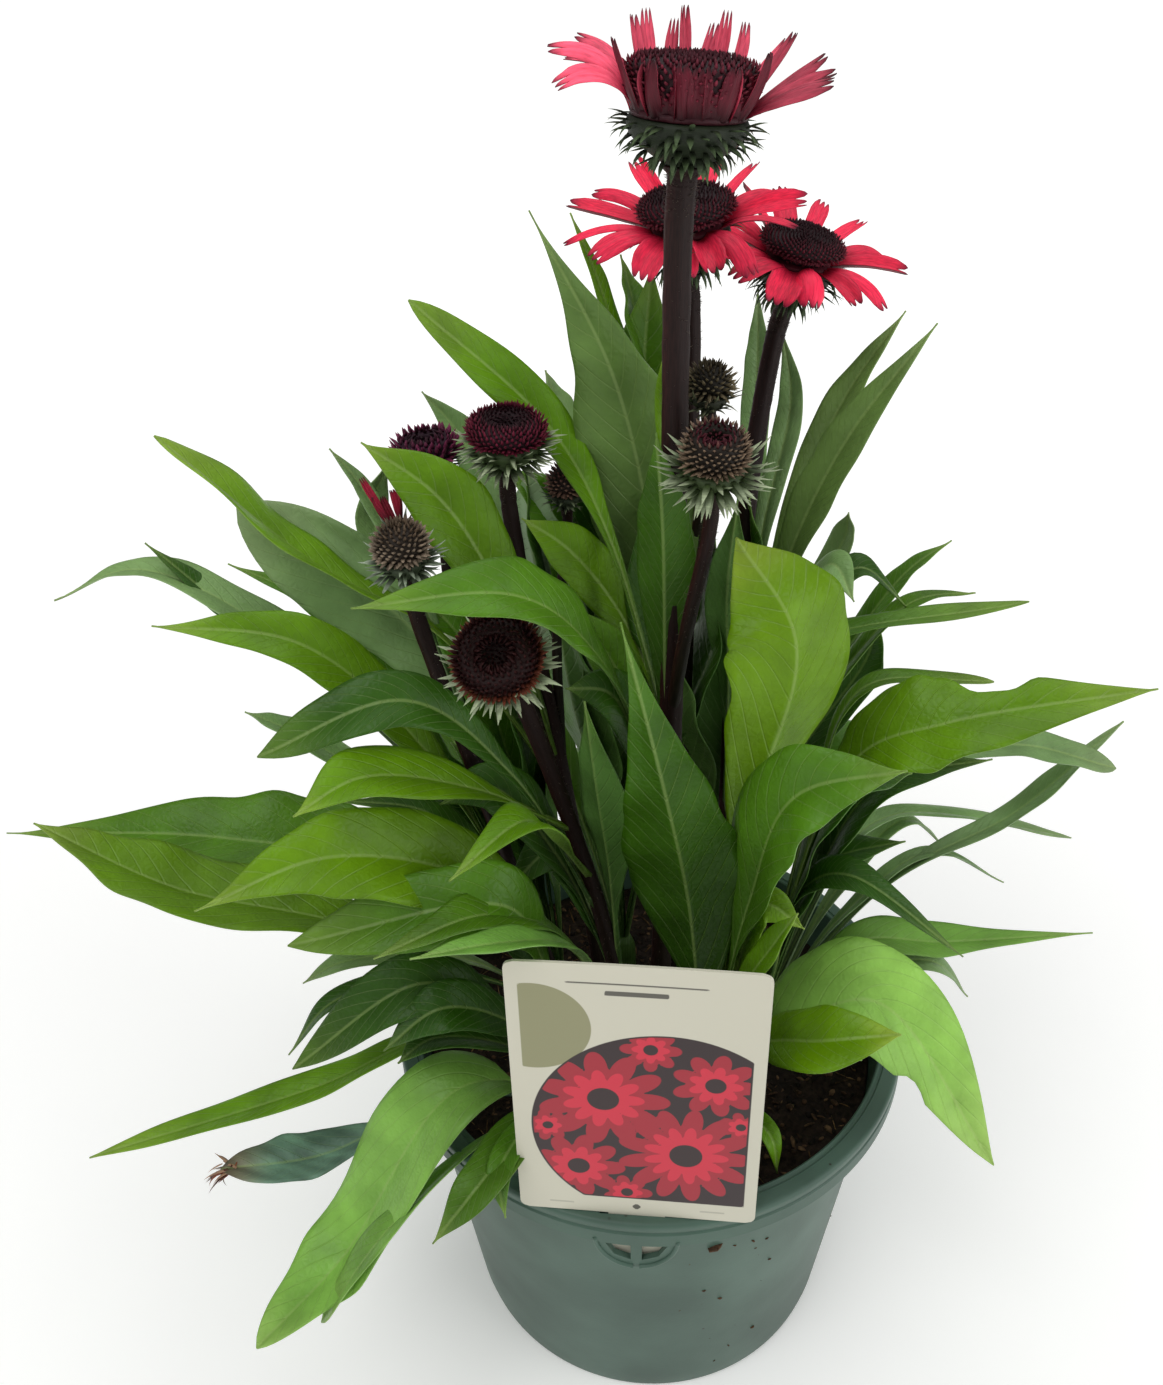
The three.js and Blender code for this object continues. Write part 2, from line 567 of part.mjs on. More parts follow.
// The green base of a head: a cup widening from the stem, each cell of its side drawn out into a bract. A bract
// rises or droops, and where curl isn't 0 its outer part bends on by that angle.
function cupSolid({ cup: [radius, height], neck, bracts: [rows, count, length, low, high, curl] }) {
  const { full, from, span, shoulder, bend, waist } = CUP;
  const wide = (z) => neck + (radius - neck) * Math.sin((Math.PI / 2) * Math.min(1, z / (full * height)));
  const rowLevels = Array.from({ length: rows + 1 }, (_, k) => height * (from + (span * k) / rows));
  const levels = [0, ...rowLevels, height];
  const around = (k, j) => {
    const r = k === levels.length - 1 ? radius - shoulder : wide(levels[k]);
    const a = (2 * Math.PI * (j + 0.5 * (k % 2))) / count;
    return vec(r * Math.cos(a), r * Math.sin(a), levels[k]);
  };
  const points = [], faces = [];
  const add = (p) => points.push(p) - 1;
  const grid = levels.map((_, k) => Array.from({ length: count }, (_, j) => add(around(k, j))));
  for (let k = 0; k < levels.length - 1; k++)
    for (let j = 0; j < count; j++) {
      const i = (j + 1) % count;
      const low0 = grid[k][j], low1 = grid[k][i];
      const high0 = k % 2 ? grid[k + 1][i] : grid[k + 1][j];
      const next = k % 2 ? grid[k + 1][(i + 1) % count] : grid[k + 1][i];
      if (k === 0 || k > rows) {
        faces.push([low0, low1, high0], [low1, next, high0]);
        continue;
      }
      const corners = [low0, low1, next, high0];
      const centre = corners.reduce((sum, c) => sum.add(points[c]), vec(0, 0, 0)).multiplyScalar(0.25);
      const share = rows > 1 ? (k - 1) / (rows - 1) : 1;
      const rise = low + (high - low) * share + 6 * Math.sin(3 * j + k);
      const size = length * (0.85 + 0.15 * share) * (1 + 0.12 * Math.sin(5 * j + 2 * k));
      const out = centre.clone().setZ(0).normalize();
      const step = (angle, d) => out.clone().multiplyScalar(d * Math.cos(rad(angle)))
        .addScaledVector(Z, d * Math.sin(rad(angle)));
      if (!curl) {
        const tip = add(centre.clone().add(step(rise, size)));
        for (let n = 0; n < 4; n++) faces.push([corners[n], corners[(n + 1) % 4], tip]);
        continue;
      }
      const elbow = centre.clone().add(step(rise, size * bend));
      const tip = add(elbow.clone().add(step(rise + curl, size * (1 - bend))));
      const neckOf = corners.map((c) => add(points[c].clone().sub(centre).multiplyScalar(waist).add(elbow)));
      for (let n = 0; n < 4; n++) {
        const m = (n + 1) % 4;
        faces.push([corners[n], corners[m], neckOf[m]], [corners[n], neckOf[m], neckOf[n]],
          [neckOf[n], neckOf[m], tip]);
      }
    }
  const foot = add(vec(0, 0, 0)), crown = add(vec(0, 0, height)), lastRow = grid.at(-1);
  for (let j = 0; j < count; j++) {
    const i = (j + 1) % count;
    faces.push([foot, grid[0][i], grid[0][j]], [crown, lastRow[j], lastRow[i]]);
  }
  return solidFrom(points, faces);
}

// Ray forms: rise of the ray where it leaves the head, rise at its tip, and its length.
const facing = (azimuth) => ({
  front: Math.max(0, -Math.sin(azimuth)), back: Math.max(0, Math.sin(azimuth)),
  left: Math.max(0, -Math.cos(azimuth)), right: Math.max(0, Math.cos(azimuth)),
});
function halfOpen(azimuth, i) {
  const { front, back, left, right } = facing(azimuth);
  return {
    from: 30 + 22 * left + 52 * front + 40 * back + 3 * Math.sin(4 * i),
    to: 88 * front + 84 * back - 30 * left * (1 - back) + 6 * right,
    length: 25 - 9 * front ** 2 - 6 * back ** 2 - 3 * right ** 2 + 1.5 * Math.sin(3 * i),
  };
}
function fullyOpen(azimuth, i) {
  const { front } = facing(azimuth);
  return {
    from: 8 + 4 * Math.sin(2.4 * i),
    to: -10 - 26 * front + 10 * Math.sin(3.7 * i + 1),
    length: 22 + 1.6 * Math.sin(5 * i),
  };
}
function closed(azimuth, i) {
  return { from: 78, to: 84 + 5 * Math.sin(3 * i), length: 13 + 3 * Math.sin(4 * i) };
}

// The rays of a flower: a thin hub whose every side face is drawn out into one ray, a channelled strap with a
// notched tip that curves from one rise to another.
function raysSolid({ count, width, seat, form }) {
  const { hub, thin, notch, stations, shares } = RAY;
  const points = [], faces = [];
  const add = (p) => points.push(p) - 1;
  const rim = (z) => Array.from({ length: count * 2 }, (_, j) => {
    const a = (Math.PI * (j - 1)) / count;
    return add(vec(seat * Math.cos(a), seat * Math.sin(a), z));
  });
  const bottom = rim(0), top = rim(hub);
  const foot = add(vec(0, 0, 0)), crown = add(vec(0, 0, hub));
  for (let j = 0; j < count * 2; j++) {
    const i = (j + 1) % (count * 2);
    faces.push([foot, bottom[i], bottom[j]], [crown, top[j], top[i]]);
  }
  for (let n = 0; n < count; n++) {
    const azimuth = (2 * Math.PI * n) / count;
    const { from, to, length } = form(azimuth, n);
    const out = vec(Math.cos(azimuth), Math.sin(azimuth), 0);
    const across = vec(-out.y, out.x, 0);
    const place = (s, steps = 12) => {
      const p = out.clone().multiplyScalar(seat).setZ(hub / 2);
      for (let i = 0; i < steps; i++) {
        const e = rad(THREE.MathUtils.lerp(from, to, ((i + 0.5) / steps) * s));
        p.addScaledVector(out, (Math.cos(e) * length * s) / steps);
        p.addScaledVector(Z, (Math.sin(e) * length * s) / steps);
      }
      return p;
    };
    const [r, m, l] = [0, 1, 2].map((d) => (2 * n + d) % (2 * count));
    let ring = [bottom[r], bottom[m], bottom[l], top[l], top[m], top[r]];
    stations.forEach((s, k) => {
      const e = rad(THREE.MathUtils.lerp(from, to, s));
      const along = out.clone().multiplyScalar(Math.cos(e)).addScaledVector(Z, Math.sin(e));
      const up = out.clone().multiplyScalar(-Math.sin(e)).addScaledVector(Z, Math.cos(e));
      const half = (width / 2) * shares[k], dip = 0.16 * half;
      const at = (y, z, back = 0) => add(place(s).addScaledVector(across, y).addScaledVector(up, z)
        .addScaledVector(along, -back));
      const cut = s === 1 ? notch : 0;
      const next = [at(-half, dip - thin), at(0, -thin - dip, cut), at(half, dip - thin),
        at(half, dip + thin), at(0, thin - dip, cut), at(-half, dip + thin)];
      for (let i = 0; i < 6; i++) {
        const j = (i + 1) % 6;
        faces.push([ring[i], ring[j], next[j]], [ring[i], next[j], next[i]]);
      }
      ring = next;
    });
    faces.push([ring[0], ring[1], ring[4]], [ring[0], ring[4], ring[5]],
      [ring[1], ring[2], ring[3]], [ring[1], ring[3], ring[4]]);
  }
  return solidFrom(points, faces);
}

// Florets: a domed cone, a dished disc or a spiky ball.
function floretsSolid({ cup: [radius], dome, disc, ball }) {
  if (dome) return turned([[0, 0], ...dome, [0, dome.at(-1)[1]]], 16);
  if (disc) {
    const [wide, tall] = disc;
    return turned([[0, 0], [radius - 1.2, 0], [wide, 0.3 * tall, 0.8], [wide, 0.62 * tall, 0.9],
      [0.84 * wide, tall, 1], [0.52 * wide, 0.98 * tall, 0.8], [0.3 * wide, 0.72 * tall, 0.3],
      [0, 0.66 * tall]], 14);
  }
  const [wide, tall] = ball;
  return turned([[0, 0], [radius - 1.2, 0], [wide, 0.3 * tall, 0.9], [0.92 * wide, 0.62 * tall, 1],
    [0.56 * wide, 0.92 * tall, 0.9], [0, tall]], 10);
}

// ---------- assembly ----------

const FINISH = {
  pot: { color: 0x6f8a80, roughness: 0.5 },
  soil: { color: 0x1d1512, roughness: 1 },
  card: { color: 0xd2cdbd, roughness: 0.45 },
  leaf: { color: 0x3f7a1e, roughness: 0.5 },
  bract: { color: 0x55664a, roughness: 0.7 },
  rays: { color: 0xd92848, roughness: 0.55 },
  cone: { color: 0x3c0f1c, roughness: 0.7 },
  brown: { color: 0x5b4436, roughness: 0.8 },
};
const BROWN_BUDS = ["bud_1", "bud_2", "bud_5", "bud_6"];

const plant = new THREE.Group();
plant.name = "purple_coneflower_plant";
plant.add(part("pot", potSolid(), FINISH.pot));
const stubs = Object.values(SHOOTS).map(({ root, radius = TUFT.radius }) => ({
  root: vec(...root, 0), radius,
}));
plant.add(part("soil", soilSolid(stubs), FINISH.soil));
plant.add(part("label", labelSolid(), FINISH.card));
for (const [name, shoot] of Object.entries(SHOOTS)) plant.add(part(name, shootSolid(shoot), FINISH.leaf));

for (const [name, head] of Object.entries(HEADS)) {
  const group = new THREE.Group();
  group.name = name;
  group.position.copy(vec(...head.base).addScaledVector(axisOf(head), GAP));
  group.quaternion.setFromUnitVectors(Z, axisOf(head));
  const add = (suffix, solid, finish, z) => {
    const mesh = part(`${name}_${suffix}`, solid, finish);
    mesh.position.z = z;
    group.add(mesh);
  };
  const top = head.cup[1] + GAP, hub = head.rays ? RAY.hub + GAP : 0;
  add("bracts", cupSolid(head), FINISH.bract, 0);
  if (head.rays) add("rays", raysSolid(head.rays), FINISH.rays, top);
  if (head.dome || head.disc || head.ball)
    add("florets", floretsSolid(head), BROWN_BUDS.includes(name) ? FINISH.brown : FINISH.cone, top + hub);
  plant.add(group);
}

export default plant;
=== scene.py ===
"""A coneflower with crimson flowers in a nursery pot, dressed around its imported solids.

Sizes are in millimetres until a mesh is made, +Z is up and the label stands at -Y. Every leaf, bract, ray
and floret is a grid of points worked out as one array: rows run from its root to its tip, and each row is a
closed ring.
"""
from __future__ import annotations

import logging
from collections.abc import Callable, Sequence
from dataclasses import dataclass, field
from enum import Enum
from functools import cache

import bpy
import numpy as np
from mathutils import Matrix

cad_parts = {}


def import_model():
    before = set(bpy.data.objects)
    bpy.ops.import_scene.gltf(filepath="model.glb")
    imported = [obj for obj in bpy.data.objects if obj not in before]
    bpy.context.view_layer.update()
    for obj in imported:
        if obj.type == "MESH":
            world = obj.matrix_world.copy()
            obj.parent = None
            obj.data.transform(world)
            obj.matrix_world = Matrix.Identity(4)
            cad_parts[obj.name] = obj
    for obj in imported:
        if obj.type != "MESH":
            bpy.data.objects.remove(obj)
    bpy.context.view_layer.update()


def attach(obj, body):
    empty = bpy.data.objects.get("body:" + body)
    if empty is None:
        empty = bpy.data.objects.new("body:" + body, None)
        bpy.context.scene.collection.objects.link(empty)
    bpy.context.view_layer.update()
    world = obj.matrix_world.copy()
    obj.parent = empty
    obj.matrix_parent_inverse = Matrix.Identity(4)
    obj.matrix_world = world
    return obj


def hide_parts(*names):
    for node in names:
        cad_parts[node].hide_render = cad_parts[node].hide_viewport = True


Array = np.ndarray
Pair = tuple[float, float]
Triple = tuple[float, float, float]
Random = np.random.Generator
Socket = bpy.types.NodeSocket

LOG = logging.getLogger("coneflower")
BODY = "root"
MM = 0.001
GOLDEN_ANGLE = np.pi * (3 - 5**0.5)
FULL_TURN = 2 * np.pi
NEVER_ZERO = 1e-3  # least bend of an arc, so that its formula holds
X, Y, Z = np.eye(3)


# ---------- colours and nodes ----------


def linear(code: str) -> Array:
    """The linear red, green and blue of an sRGB hex colour such as "#4a7d1e"."""
    srgb = np.array([int(code[k : k + 2], 16) for k in (1, 3, 5)]) / 255
    return np.where(srgb <= 0.04045, srgb / 12.92, ((srgb + 0.055) / 1.055) ** 2.4)


def add(material: bpy.types.Material, kind: str, settings: dict | None = None,
        inputs: dict | None = None) -> bpy.types.Node:
    """Adds one shader node with its settings and links.

    Args:
        material: the material that gets the node.
        kind: Blender's name of the node, without "ShaderNode".
        settings: values for the node's own properties.
        inputs: for an input's name or number, a value, a hex colour or the socket to link from.

    Returns:
        The node.
    """
    tree = material.node_tree
    node = tree.nodes.new("ShaderNode" + kind)
    for name, value in (settings or {}).items():
        setattr(node, name, value)
    for name, value in (inputs or {}).items():
        if isinstance(value, Socket):
            tree.links.new(value, node.inputs[name])
        else:
            node.inputs[name].default_value = (*linear(value), 1) if isinstance(value, str) else value
    return node


@dataclass(frozen=True)
class Graph:
    """Shorthands for a material's usual nodes. Each gives the socket to link from."""

    material: bpy.types.Material

    def carried(self, name: str, socket: str = "Vector") -> Socket:
        """A value that the mesh carries at its points."""
        return add(self.material, "Attribute", {"attribute_name": name}).outputs[socket]

    def spot(self) -> Socket:
        """The place on the object, in metres."""
        return add(self.material, "TexCoord").outputs["Object"]

    def parts(self, vector: Socket) -> Sequence[Socket]:
        """The three numbers of a vector."""
        return add(self.material, "SeparateXYZ", {}, {0: vector}).outputs

    def calc(self, operation: str, *values: float | Socket) -> Socket:
        """One step of arithmetic."""
        return add(self.material, "Math", {"operation": operation}, dict(enumerate(values))).outputs[0]

    def noise(self, at: Socket, size: float, detail: float) -> Socket:
        """Cloudy noise whose largest clouds have this size, in the units of the place."""
        inputs = {"Vector": at, "Scale": 1 / size, "Detail": detail}
        return add(self.material, "TexNoise", {}, inputs).outputs[0]

    def ramp(self, value: Socket, low: float, high: float, start: float = 0.0, end: float = 1.0,
             smooth: bool = False) -> Socket:
        """Maps a value: the result goes from start to end while the value goes from low to high.

        Args:
            value: what is mapped.
            low: where the result leaves start.
            high: where it reaches end.
            start: the first result.
            end: the last result.
            smooth: whether it eases in and out.

        Returns:
            The result.
        """
        kind = {"interpolation_type": "SMOOTHSTEP" if smooth else "LINEAR"}
        limits = {"From Min": low, "From Max": high, "To Min": start, "To Max": end}
        return add(self.material, "MapRange", kind, {"Value": value, **limits}).outputs[0]

    def mix(self, share: float | Socket, under: str | Socket, over: str | Socket,
            blend: str = "MIX") -> Socket:
        """Lays a colour over another.

        Args:
            share: how much of it is laid, from 0 to 1.
            under: the colour below, as a socket or a hex colour.
            over: the colour above.
            blend: Blender's name of the way in which they mix.

        Returns:
            The mixed colour.
        """
        kind = {"data_type": "RGBA", "blend_type": blend}
        low, high, mixed = 6, 7, 2  # a Mix node's own sockets for colours
        return add(self.material, "Mix", kind, {0: share, low: under, high: over}).outputs[mixed]

    def bump(self, height: Socket, strength: float, depth: float) -> Socket:
        """A relief of this depth in millimetres, as a normal."""
        inputs = {"Strength": strength, "Distance": depth * MM, "Height": height}
        return add(self.material, "Bump", {}, inputs).outputs[0]


@dataclass(frozen=True)
class Finish:
    """A material: its plain name and its roughness. Each kind adds its own colour and relief."""

    name: str
    roughness: float = 0.5
    specular: float = 0.5

    def sockets(self, graph: Graph) -> dict:
        """Nodes for this finish: inputs of the shader, by name."""
        raise NotImplementedError

    def material(self) -> bpy.types.Material:
        """Makes the material.

        Returns:
            A material whose Principled shader reads this finish's sockets.
        """
        made = bpy.data.materials.new(self.name)
        made.use_nodes = True
        made.node_tree.nodes.clear()
        constants = {"Roughness": self.roughness, "Specular IOR Level": self.specular}
        shader = add(made, "BsdfPrincipled", {}, {**constants, **self.sockets(Graph(made))})
        add(made, "OutputMaterial", {}, {"Surface": shader.outputs[0]})
        return made


@dataclass(frozen=True)
class LeafFinish(Finish):
    """Living leaf: a waxy skin, so a soft gloss, over a pale midrib, side veins and a fine net of veins."""

    vein: str = "#a3ba70"
    midrib: Pair = (0.15, 0.75)  # where it starts and has faded from the middle line, mm
    side_vein: float = 0.085  # where a side vein has faded, as a share of the distance between two
    strength: Pair = (0.12, 0.28)  # of the side veins' and the midrib's colour
    net: float = 2.2  # cells of the net, mm
    mottle: float = 13.33  # size of darker and lighter clouds, mm
    shades: Pair = (0.78, 1.16)  # brightness of those clouds
    sunk: float = 0.7  # depth of a side vein, as a share of a cell's height

    def sockets(self, graph: Graph) -> dict:
        """Veins over a mottled green: the mesh counts side veins along x and gives millimetres across as y.

        Args:
            graph: the material's nodes.

        Returns:
            Inputs of the shader, by name.
        """
        along, across, _ = graph.parts(graph.carried("place"))
        midrib = graph.ramp(graph.calc("ABSOLUTE", across), *self.midrib, 1.0, 0.0, smooth=True)
        side = graph.ramp(graph.calc("PINGPONG", along, 0.5), 0.0, self.side_vein, 1.0, 0.0, smooth=True)
        spot = graph.spot()
        cells = add(graph.material, "TexVoronoi", {"feature": "DISTANCE_TO_EDGE"},
                    {"Vector": spot, "Scale": 1 / (self.net * MM)}).outputs["Distance"]
        shade = graph.ramp(graph.noise(spot, self.mottle * MM, 4.0), 0.3, 0.7, *self.shades)
        lamina = graph.mix(1.0, graph.carried("tint", "Color"), shade, "MULTIPLY")
        faint, strong = (graph.calc("MULTIPLY", *each) for each in zip((side, midrib), self.strength))
        colour = graph.mix(strong, graph.mix(faint, lamina, self.vein), self.vein)
        height = graph.calc("MULTIPLY_ADD", side, -self.sunk, cells)
        return {"Base Color": colour, "Normal": graph.bump(height, 0.5, 0.5)}


@dataclass(frozen=True)
class FibreFinish(Finish):
    """Soft plant tissue, such as petal, bract, floret or stem: a matt skin with streaks along its growth."""

    streak: float = 0.5  # width of a streak, mm
    depth: float = 0.35  # how much darker a streak is
    stretch: float = 0.12  # width of a streak as a share of its length

    def sockets(self, graph: Graph) -> dict:
        """Streaks: noise that is stretched along x of the place that the mesh carries.

        Args:
            graph: the material's nodes.

        Returns:
            Inputs of the shader, by name.
        """
        place = {"Vector": graph.carried("place"), "Scale": (self.stretch, 1.0, 1.0)}
        lines = graph.noise(add(graph.material, "Mapping", {}, place).outputs[0], self.streak, 3.0)
        shade = graph.ramp(lines, 0.32, 0.68, 1 - self.depth, 1 + 0.4 * self.depth)
        colour = graph.mix(1.0, graph.carried("tint", "Color"), shade, "MULTIPLY")
        return {"Base Color": colour, "Normal": graph.bump(lines, 0.4, 0.3)}


@dataclass(frozen=True)
class PotFinish(Finish):
    """Moulded polypropylene: an even satin skin, clouded by handling, with specks of soil splashed on it."""

    colour: str = "#4b6457"
    worn: str = "#3f5449"
    dirt: str = "#2e2c26"
    cloud: float = 45.45  # size of the worn clouds, mm
    splash: float = 28.57  # size of the places with specks, mm
    speck: float = 7.0  # distance between specks, mm
    grain: float = 1.111  # of the mould's surface, mm
    sheen: Pair = (-0.06, 0.1)  # what the clouds take from the roughness and add to it

    def sockets(self, graph: Graph) -> dict:
        """Clouds of the worn colour, and specks of dirt where a second noise is high.

        Args:
            graph: the material's nodes.

        Returns:
            Inputs of the shader, by name.
        """
        spot = graph.spot()
        cloud = graph.noise(spot, self.cloud * MM, 5.0)
        body = graph.mix(graph.ramp(cloud, 0.35, 0.65), self.colour, self.worn)
        cells = add(graph.material, "TexVoronoi", {},
                    {"Vector": spot, "Scale": 1 / (self.speck * MM)}).outputs["Distance"]
        near = graph.ramp(cells, 0.05, 0.1, 1.0, 0.0, smooth=True)
        here = graph.ramp(graph.noise(spot, self.splash * MM, 2.0), 0.54, 0.62)
        colour = graph.mix(graph.calc("MULTIPLY", near, here), body, self.dirt)
        rough = graph.ramp(cloud, 0.0, 1.0, *(self.roughness + change for change in self.sheen))
        grain = graph.bump(graph.noise(spot, self.grain * MM, 2.0), 0.15, 0.2)
        return {"Base Color": colour, "Roughness": rough, "Normal": grain}


@dataclass(frozen=True)
class PeatFinish(Finish):
    """Moist peat and bark: black-brown crumbs that scatter light, with painted shade between and highlights
    on them.
    """

    crumb: float = 1.923  # size of the crumbs, mm
    shades: Pair = (0.45, 1.7)  # brightness of the painted shade between the crumbs and of the painted highlight on them

    def sockets(self, graph: Graph) -> dict:
        """Crumbs: one noise for their relief and for the painted shade and highlights on them.

        Args:
            graph: the material's nodes.

        Returns:
            Inputs of the shader, by name.
        """
        crumbs = graph.noise(graph.spot(), self.crumb * MM, 5.0)
        # painted shade in the hollows between crumbs and painted highlights on their tops, from the relief's
        # noise
        shade = graph.ramp(crumbs, 0.35, 0.7, *self.shades)
        colour = graph.mix(1.0, graph.carried("tint", "Color"), shade, "MULTIPLY")
        return {"Base Color": colour, "Normal": graph.bump(crumbs, 0.8, 1.0)}


@dataclass(frozen=True)
class PrintFinish(Finish):
    """Printed card in thin gloss film: flat inks, each laid where its outline field is below zero."""

    card: str = "#c6c3b1"
    inks: tuple[str, ...] = ("#8a8966", "#240f12", "#9c1026", "#c81e38", "#260f10", "#55534a")
    edge: float = 0.12  # softness of an ink's edge, mm
    gloss: float = 0.12  # weight of the film's coat

    def sockets(self, graph: Graph) -> dict:
        """The inks, one over the other, three to each vector that the mesh carries.

        Args:
            graph: the material's nodes.

        Returns:
            Inputs of the shader, by name.
        """
        fields = (*graph.parts(graph.carried("print_low")), *graph.parts(graph.carried("print_high")))
        colour = self.card
        for outline, ink in zip(fields, self.inks):
            colour = graph.mix(graph.ramp(outline, -self.edge, self.edge, 1.0, 0.0), colour, ink)
        return {"Base Color": colour, "Coat Weight": self.gloss, "Coat Roughness": 0.2}


@dataclass(frozen=True)
class PaperFinish(Finish):
    """Studio paper, lit from below further out, so that it stays pale up to the horizon."""

    colour: str = "#f6f6f4"
    reach: Pair = (0.2, 2.0)  # metres from the middle between which the glow grows
    glow: Pair = (0.2, 0.85)

    def sockets(self, graph: Graph) -> dict:
        """A glow that grows with the distance from the middle.

        Args:
            graph: the material's nodes.

        Returns:
            Inputs of the shader, by name.
        """
        away = add(graph.material, "VectorMath", {"operation": "LENGTH"}, {0: graph.spot()}).outputs["Value"]
        glow = graph.ramp(away, *self.reach, *self.glow)
        return {"Base Color": self.colour, "Emission Color": self.colour, "Emission Strength": glow}


# Each finish: its name, its roughness and the strength of its gloss.
FLOOR = PaperFinish("pale paper", 0.9, 0.2)  # matt, so that the plant has soft shadows and no mirror image
LEAF = LeafFinish("living leaf", 0.42, 0.24)  # thick waxy blades
STEM = FibreFinish("hairy coneflower stem", 0.55, 0.18, streak=0.5, depth=0.5)  # ridged, dull
BRACT = FibreFinish("bristly bract", 0.6, 0.3, streak=0.4, depth=0.3)  # stiff and dry
PETAL = FibreFinish("velvety petal", 0.55, 0.25, streak=0.35, depth=0.3)  # fine veins along the ray
FLORET = FibreFinish("chaffy floret", 0.6, 0.22, streak=0.3, depth=0.3)  # hard pointed scales
POT = PotFinish("moulded polypropylene", 0.42, 0.28)  # satin from the mould
PEAT = PeatFinish("moist peat and bark", 0.85, 0.2)  # rough and nearly black
CARD = PrintFinish("laminated card", 0.38, 0.4)  # film over print


# ---------- surfaces ----------


def unit(vectors: Array) -> Array:
    """The vectors at length 1."""
    return vectors / np.linalg.norm(vectors, axis=-1, keepdims=True)


def around(count: int) -> Array:
    """This many angles, evenly round a full turn."""
    return FULL_TURN * np.arange(count) / count


def polar(radius: Array | float, azimuth: Array, z: Array | float) -> Array:
    """Points at a radius and an azimuth about the z axis and at a height."""
    return np.stack(np.broadcast_arrays(radius * np.cos(azimuth), radius * np.sin(azimuth), z), axis=-1)


def smoothstep(value: Array, low: float, high: float) -> Array:
    """A smooth rise from 0 at low to 1 at high."""
    t = np.clip((value - low) / (high - low), 0, 1)
    return t * t * (3 - 2 * t)


def between(at: Array | float, knots: Array, rows: Array) -> Array:
    """The rows' values at places between their knots, on straight lines from each row to the next."""
    return np.stack([np.interp(at, knots, column) for column in rows.T], axis=-1)


def palette(*codes: str) -> Array:
    """Hex colours as rows of linear red, green and blue."""
    return np.stack([linear(code) for code in codes])


def spline(points: Array, u: Array) -> Array:
    """A centripetal Catmull-Rom curve.

    Between each two points runs a cubic, whose slopes are weighted by the root of the distances to the points
    before and after.

    Args:
        points: the points it passes, one a row.
        u: places on it from 0 to 1, each stretch taking the same share.

    Returns:
        One point for each u.
    """
    last = len(points) - 1
    i = np.minimum((last * u).astype(int), last - 1)
    w = (last * u - i)[:, None]
    ends = np.concatenate([2 * points[:1] - points[1:2], points, 2 * points[-1:] - points[-2:-1]])
    p0, p1, p2, p3 = (ends[i + k] for k in range(4))
    steps = ((p0, p1), (p1, p2), (p2, p3))
    d0, d1, d2 = (np.sqrt(np.linalg.norm(b - a, axis=1, keepdims=True)) for a, b in steps)
    t1 = ((p1 - p0) / d0 - (p2 - p0) / (d0 + d1) + (p2 - p1) / d1) * d1
    t2 = ((p2 - p1) / d1 - (p3 - p1) / (d1 + d2) + (p3 - p2) / d2) * d1
    return p1 + t1 * w + (3 * (p2 - p1) - 2 * t1 - t2) * w**2 + (2 * (p1 - p2) + t1 + t2) * w**3


def arc(start: Array, turn: Array, length: Array, share: Array) -> tuple[Array, ...]:
    """A path whose angle over the horizon grows evenly: the integrals of its cosine and sine.

    Args:
        start: the angle at its root.
        turn: what the angle gains over the whole length.
        length: of the whole path.
        share: places on it, from 0 to 1.

    Returns:
        The angle, the distance outwards and the climb at each place.
    """
    bend = np.where(np.abs(turn) < NEVER_ZERO, NEVER_ZERO, turn)
    angle = start + bend * share
    reach = length * (np.sin(angle) - np.sin(start)) / bend
    return angle, reach, length * (np.cos(start) - np.cos(angle)) / bend


def waves(points: Array, size: float, seed: int, count: int = 6) -> Array:
    """Uneven waves about 0: a mean of sines, each along its own direction, from size down to a third.

    Args:
        points: where, in any number of dimensions.
        size: length of the longest wave.
        seed: for the directions and phases.
        count: how many sines.

    Returns:
        One value a point.
    """
    rng = np.random.default_rng(seed)
    directions = unit(rng.normal(size=(count, points.shape[-1])))
    lengths = size * np.linspace(1, 0.33, count)
    phases = rng.uniform(0, FULL_TURN, count)
    return np.sin(points @ (directions.T * FULL_TURN / lengths) + phases).mean(axis=-1) * 1.6


def tube(centre: Array, radius: Array, sides: int, end: Array | None = None) -> Array:
    """Rings square to a path, each point its radius away from the path, turned evenly round it.

    Args:
        centre: the path, one point a row.
        radius: one radius a row, or one for each point of each ring.
        sides: points in a ring.
        end: the direction of the path at its far end, if it isn't the path's own.

    Returns:
        An array of one tube, its rings, their points and x, y, z.
    """
    along = unit(np.gradient(centre, axis=0))
    if end is not None:
        along[-1] = end
    right = unit(X - along * (along @ X)[:, None])
    front = np.cross(along, right)
    a = around(sides)
    spokes = right[:, None] * np.cos(a)[:, None] + front[:, None] * np.sin(a)[:, None]
    return (centre[:, None] + np.reshape(radius, (len(centre), -1, 1)) * spokes)[None]


def turned(profile: Array, sides: int) -> Array:
    """Rings about the z axis from a profile of radius and height, which goes up the outside first."""
    return polar(profile[:, :1], around(sides), profile[:, 1:])[None]


def both_faces(under: Array, over: Array) -> Array:
    """Closed rings of a blade: the underside from margin to margin, then the upper side back."""
    return np.concatenate([under, over[..., ::-1, :]], axis=-2)


class Closure(Enum):
    """How the two ends of a tube are closed."""

    FAN = "triangles about a middle point"
    ZIP = "quads between the two faces of a blade"


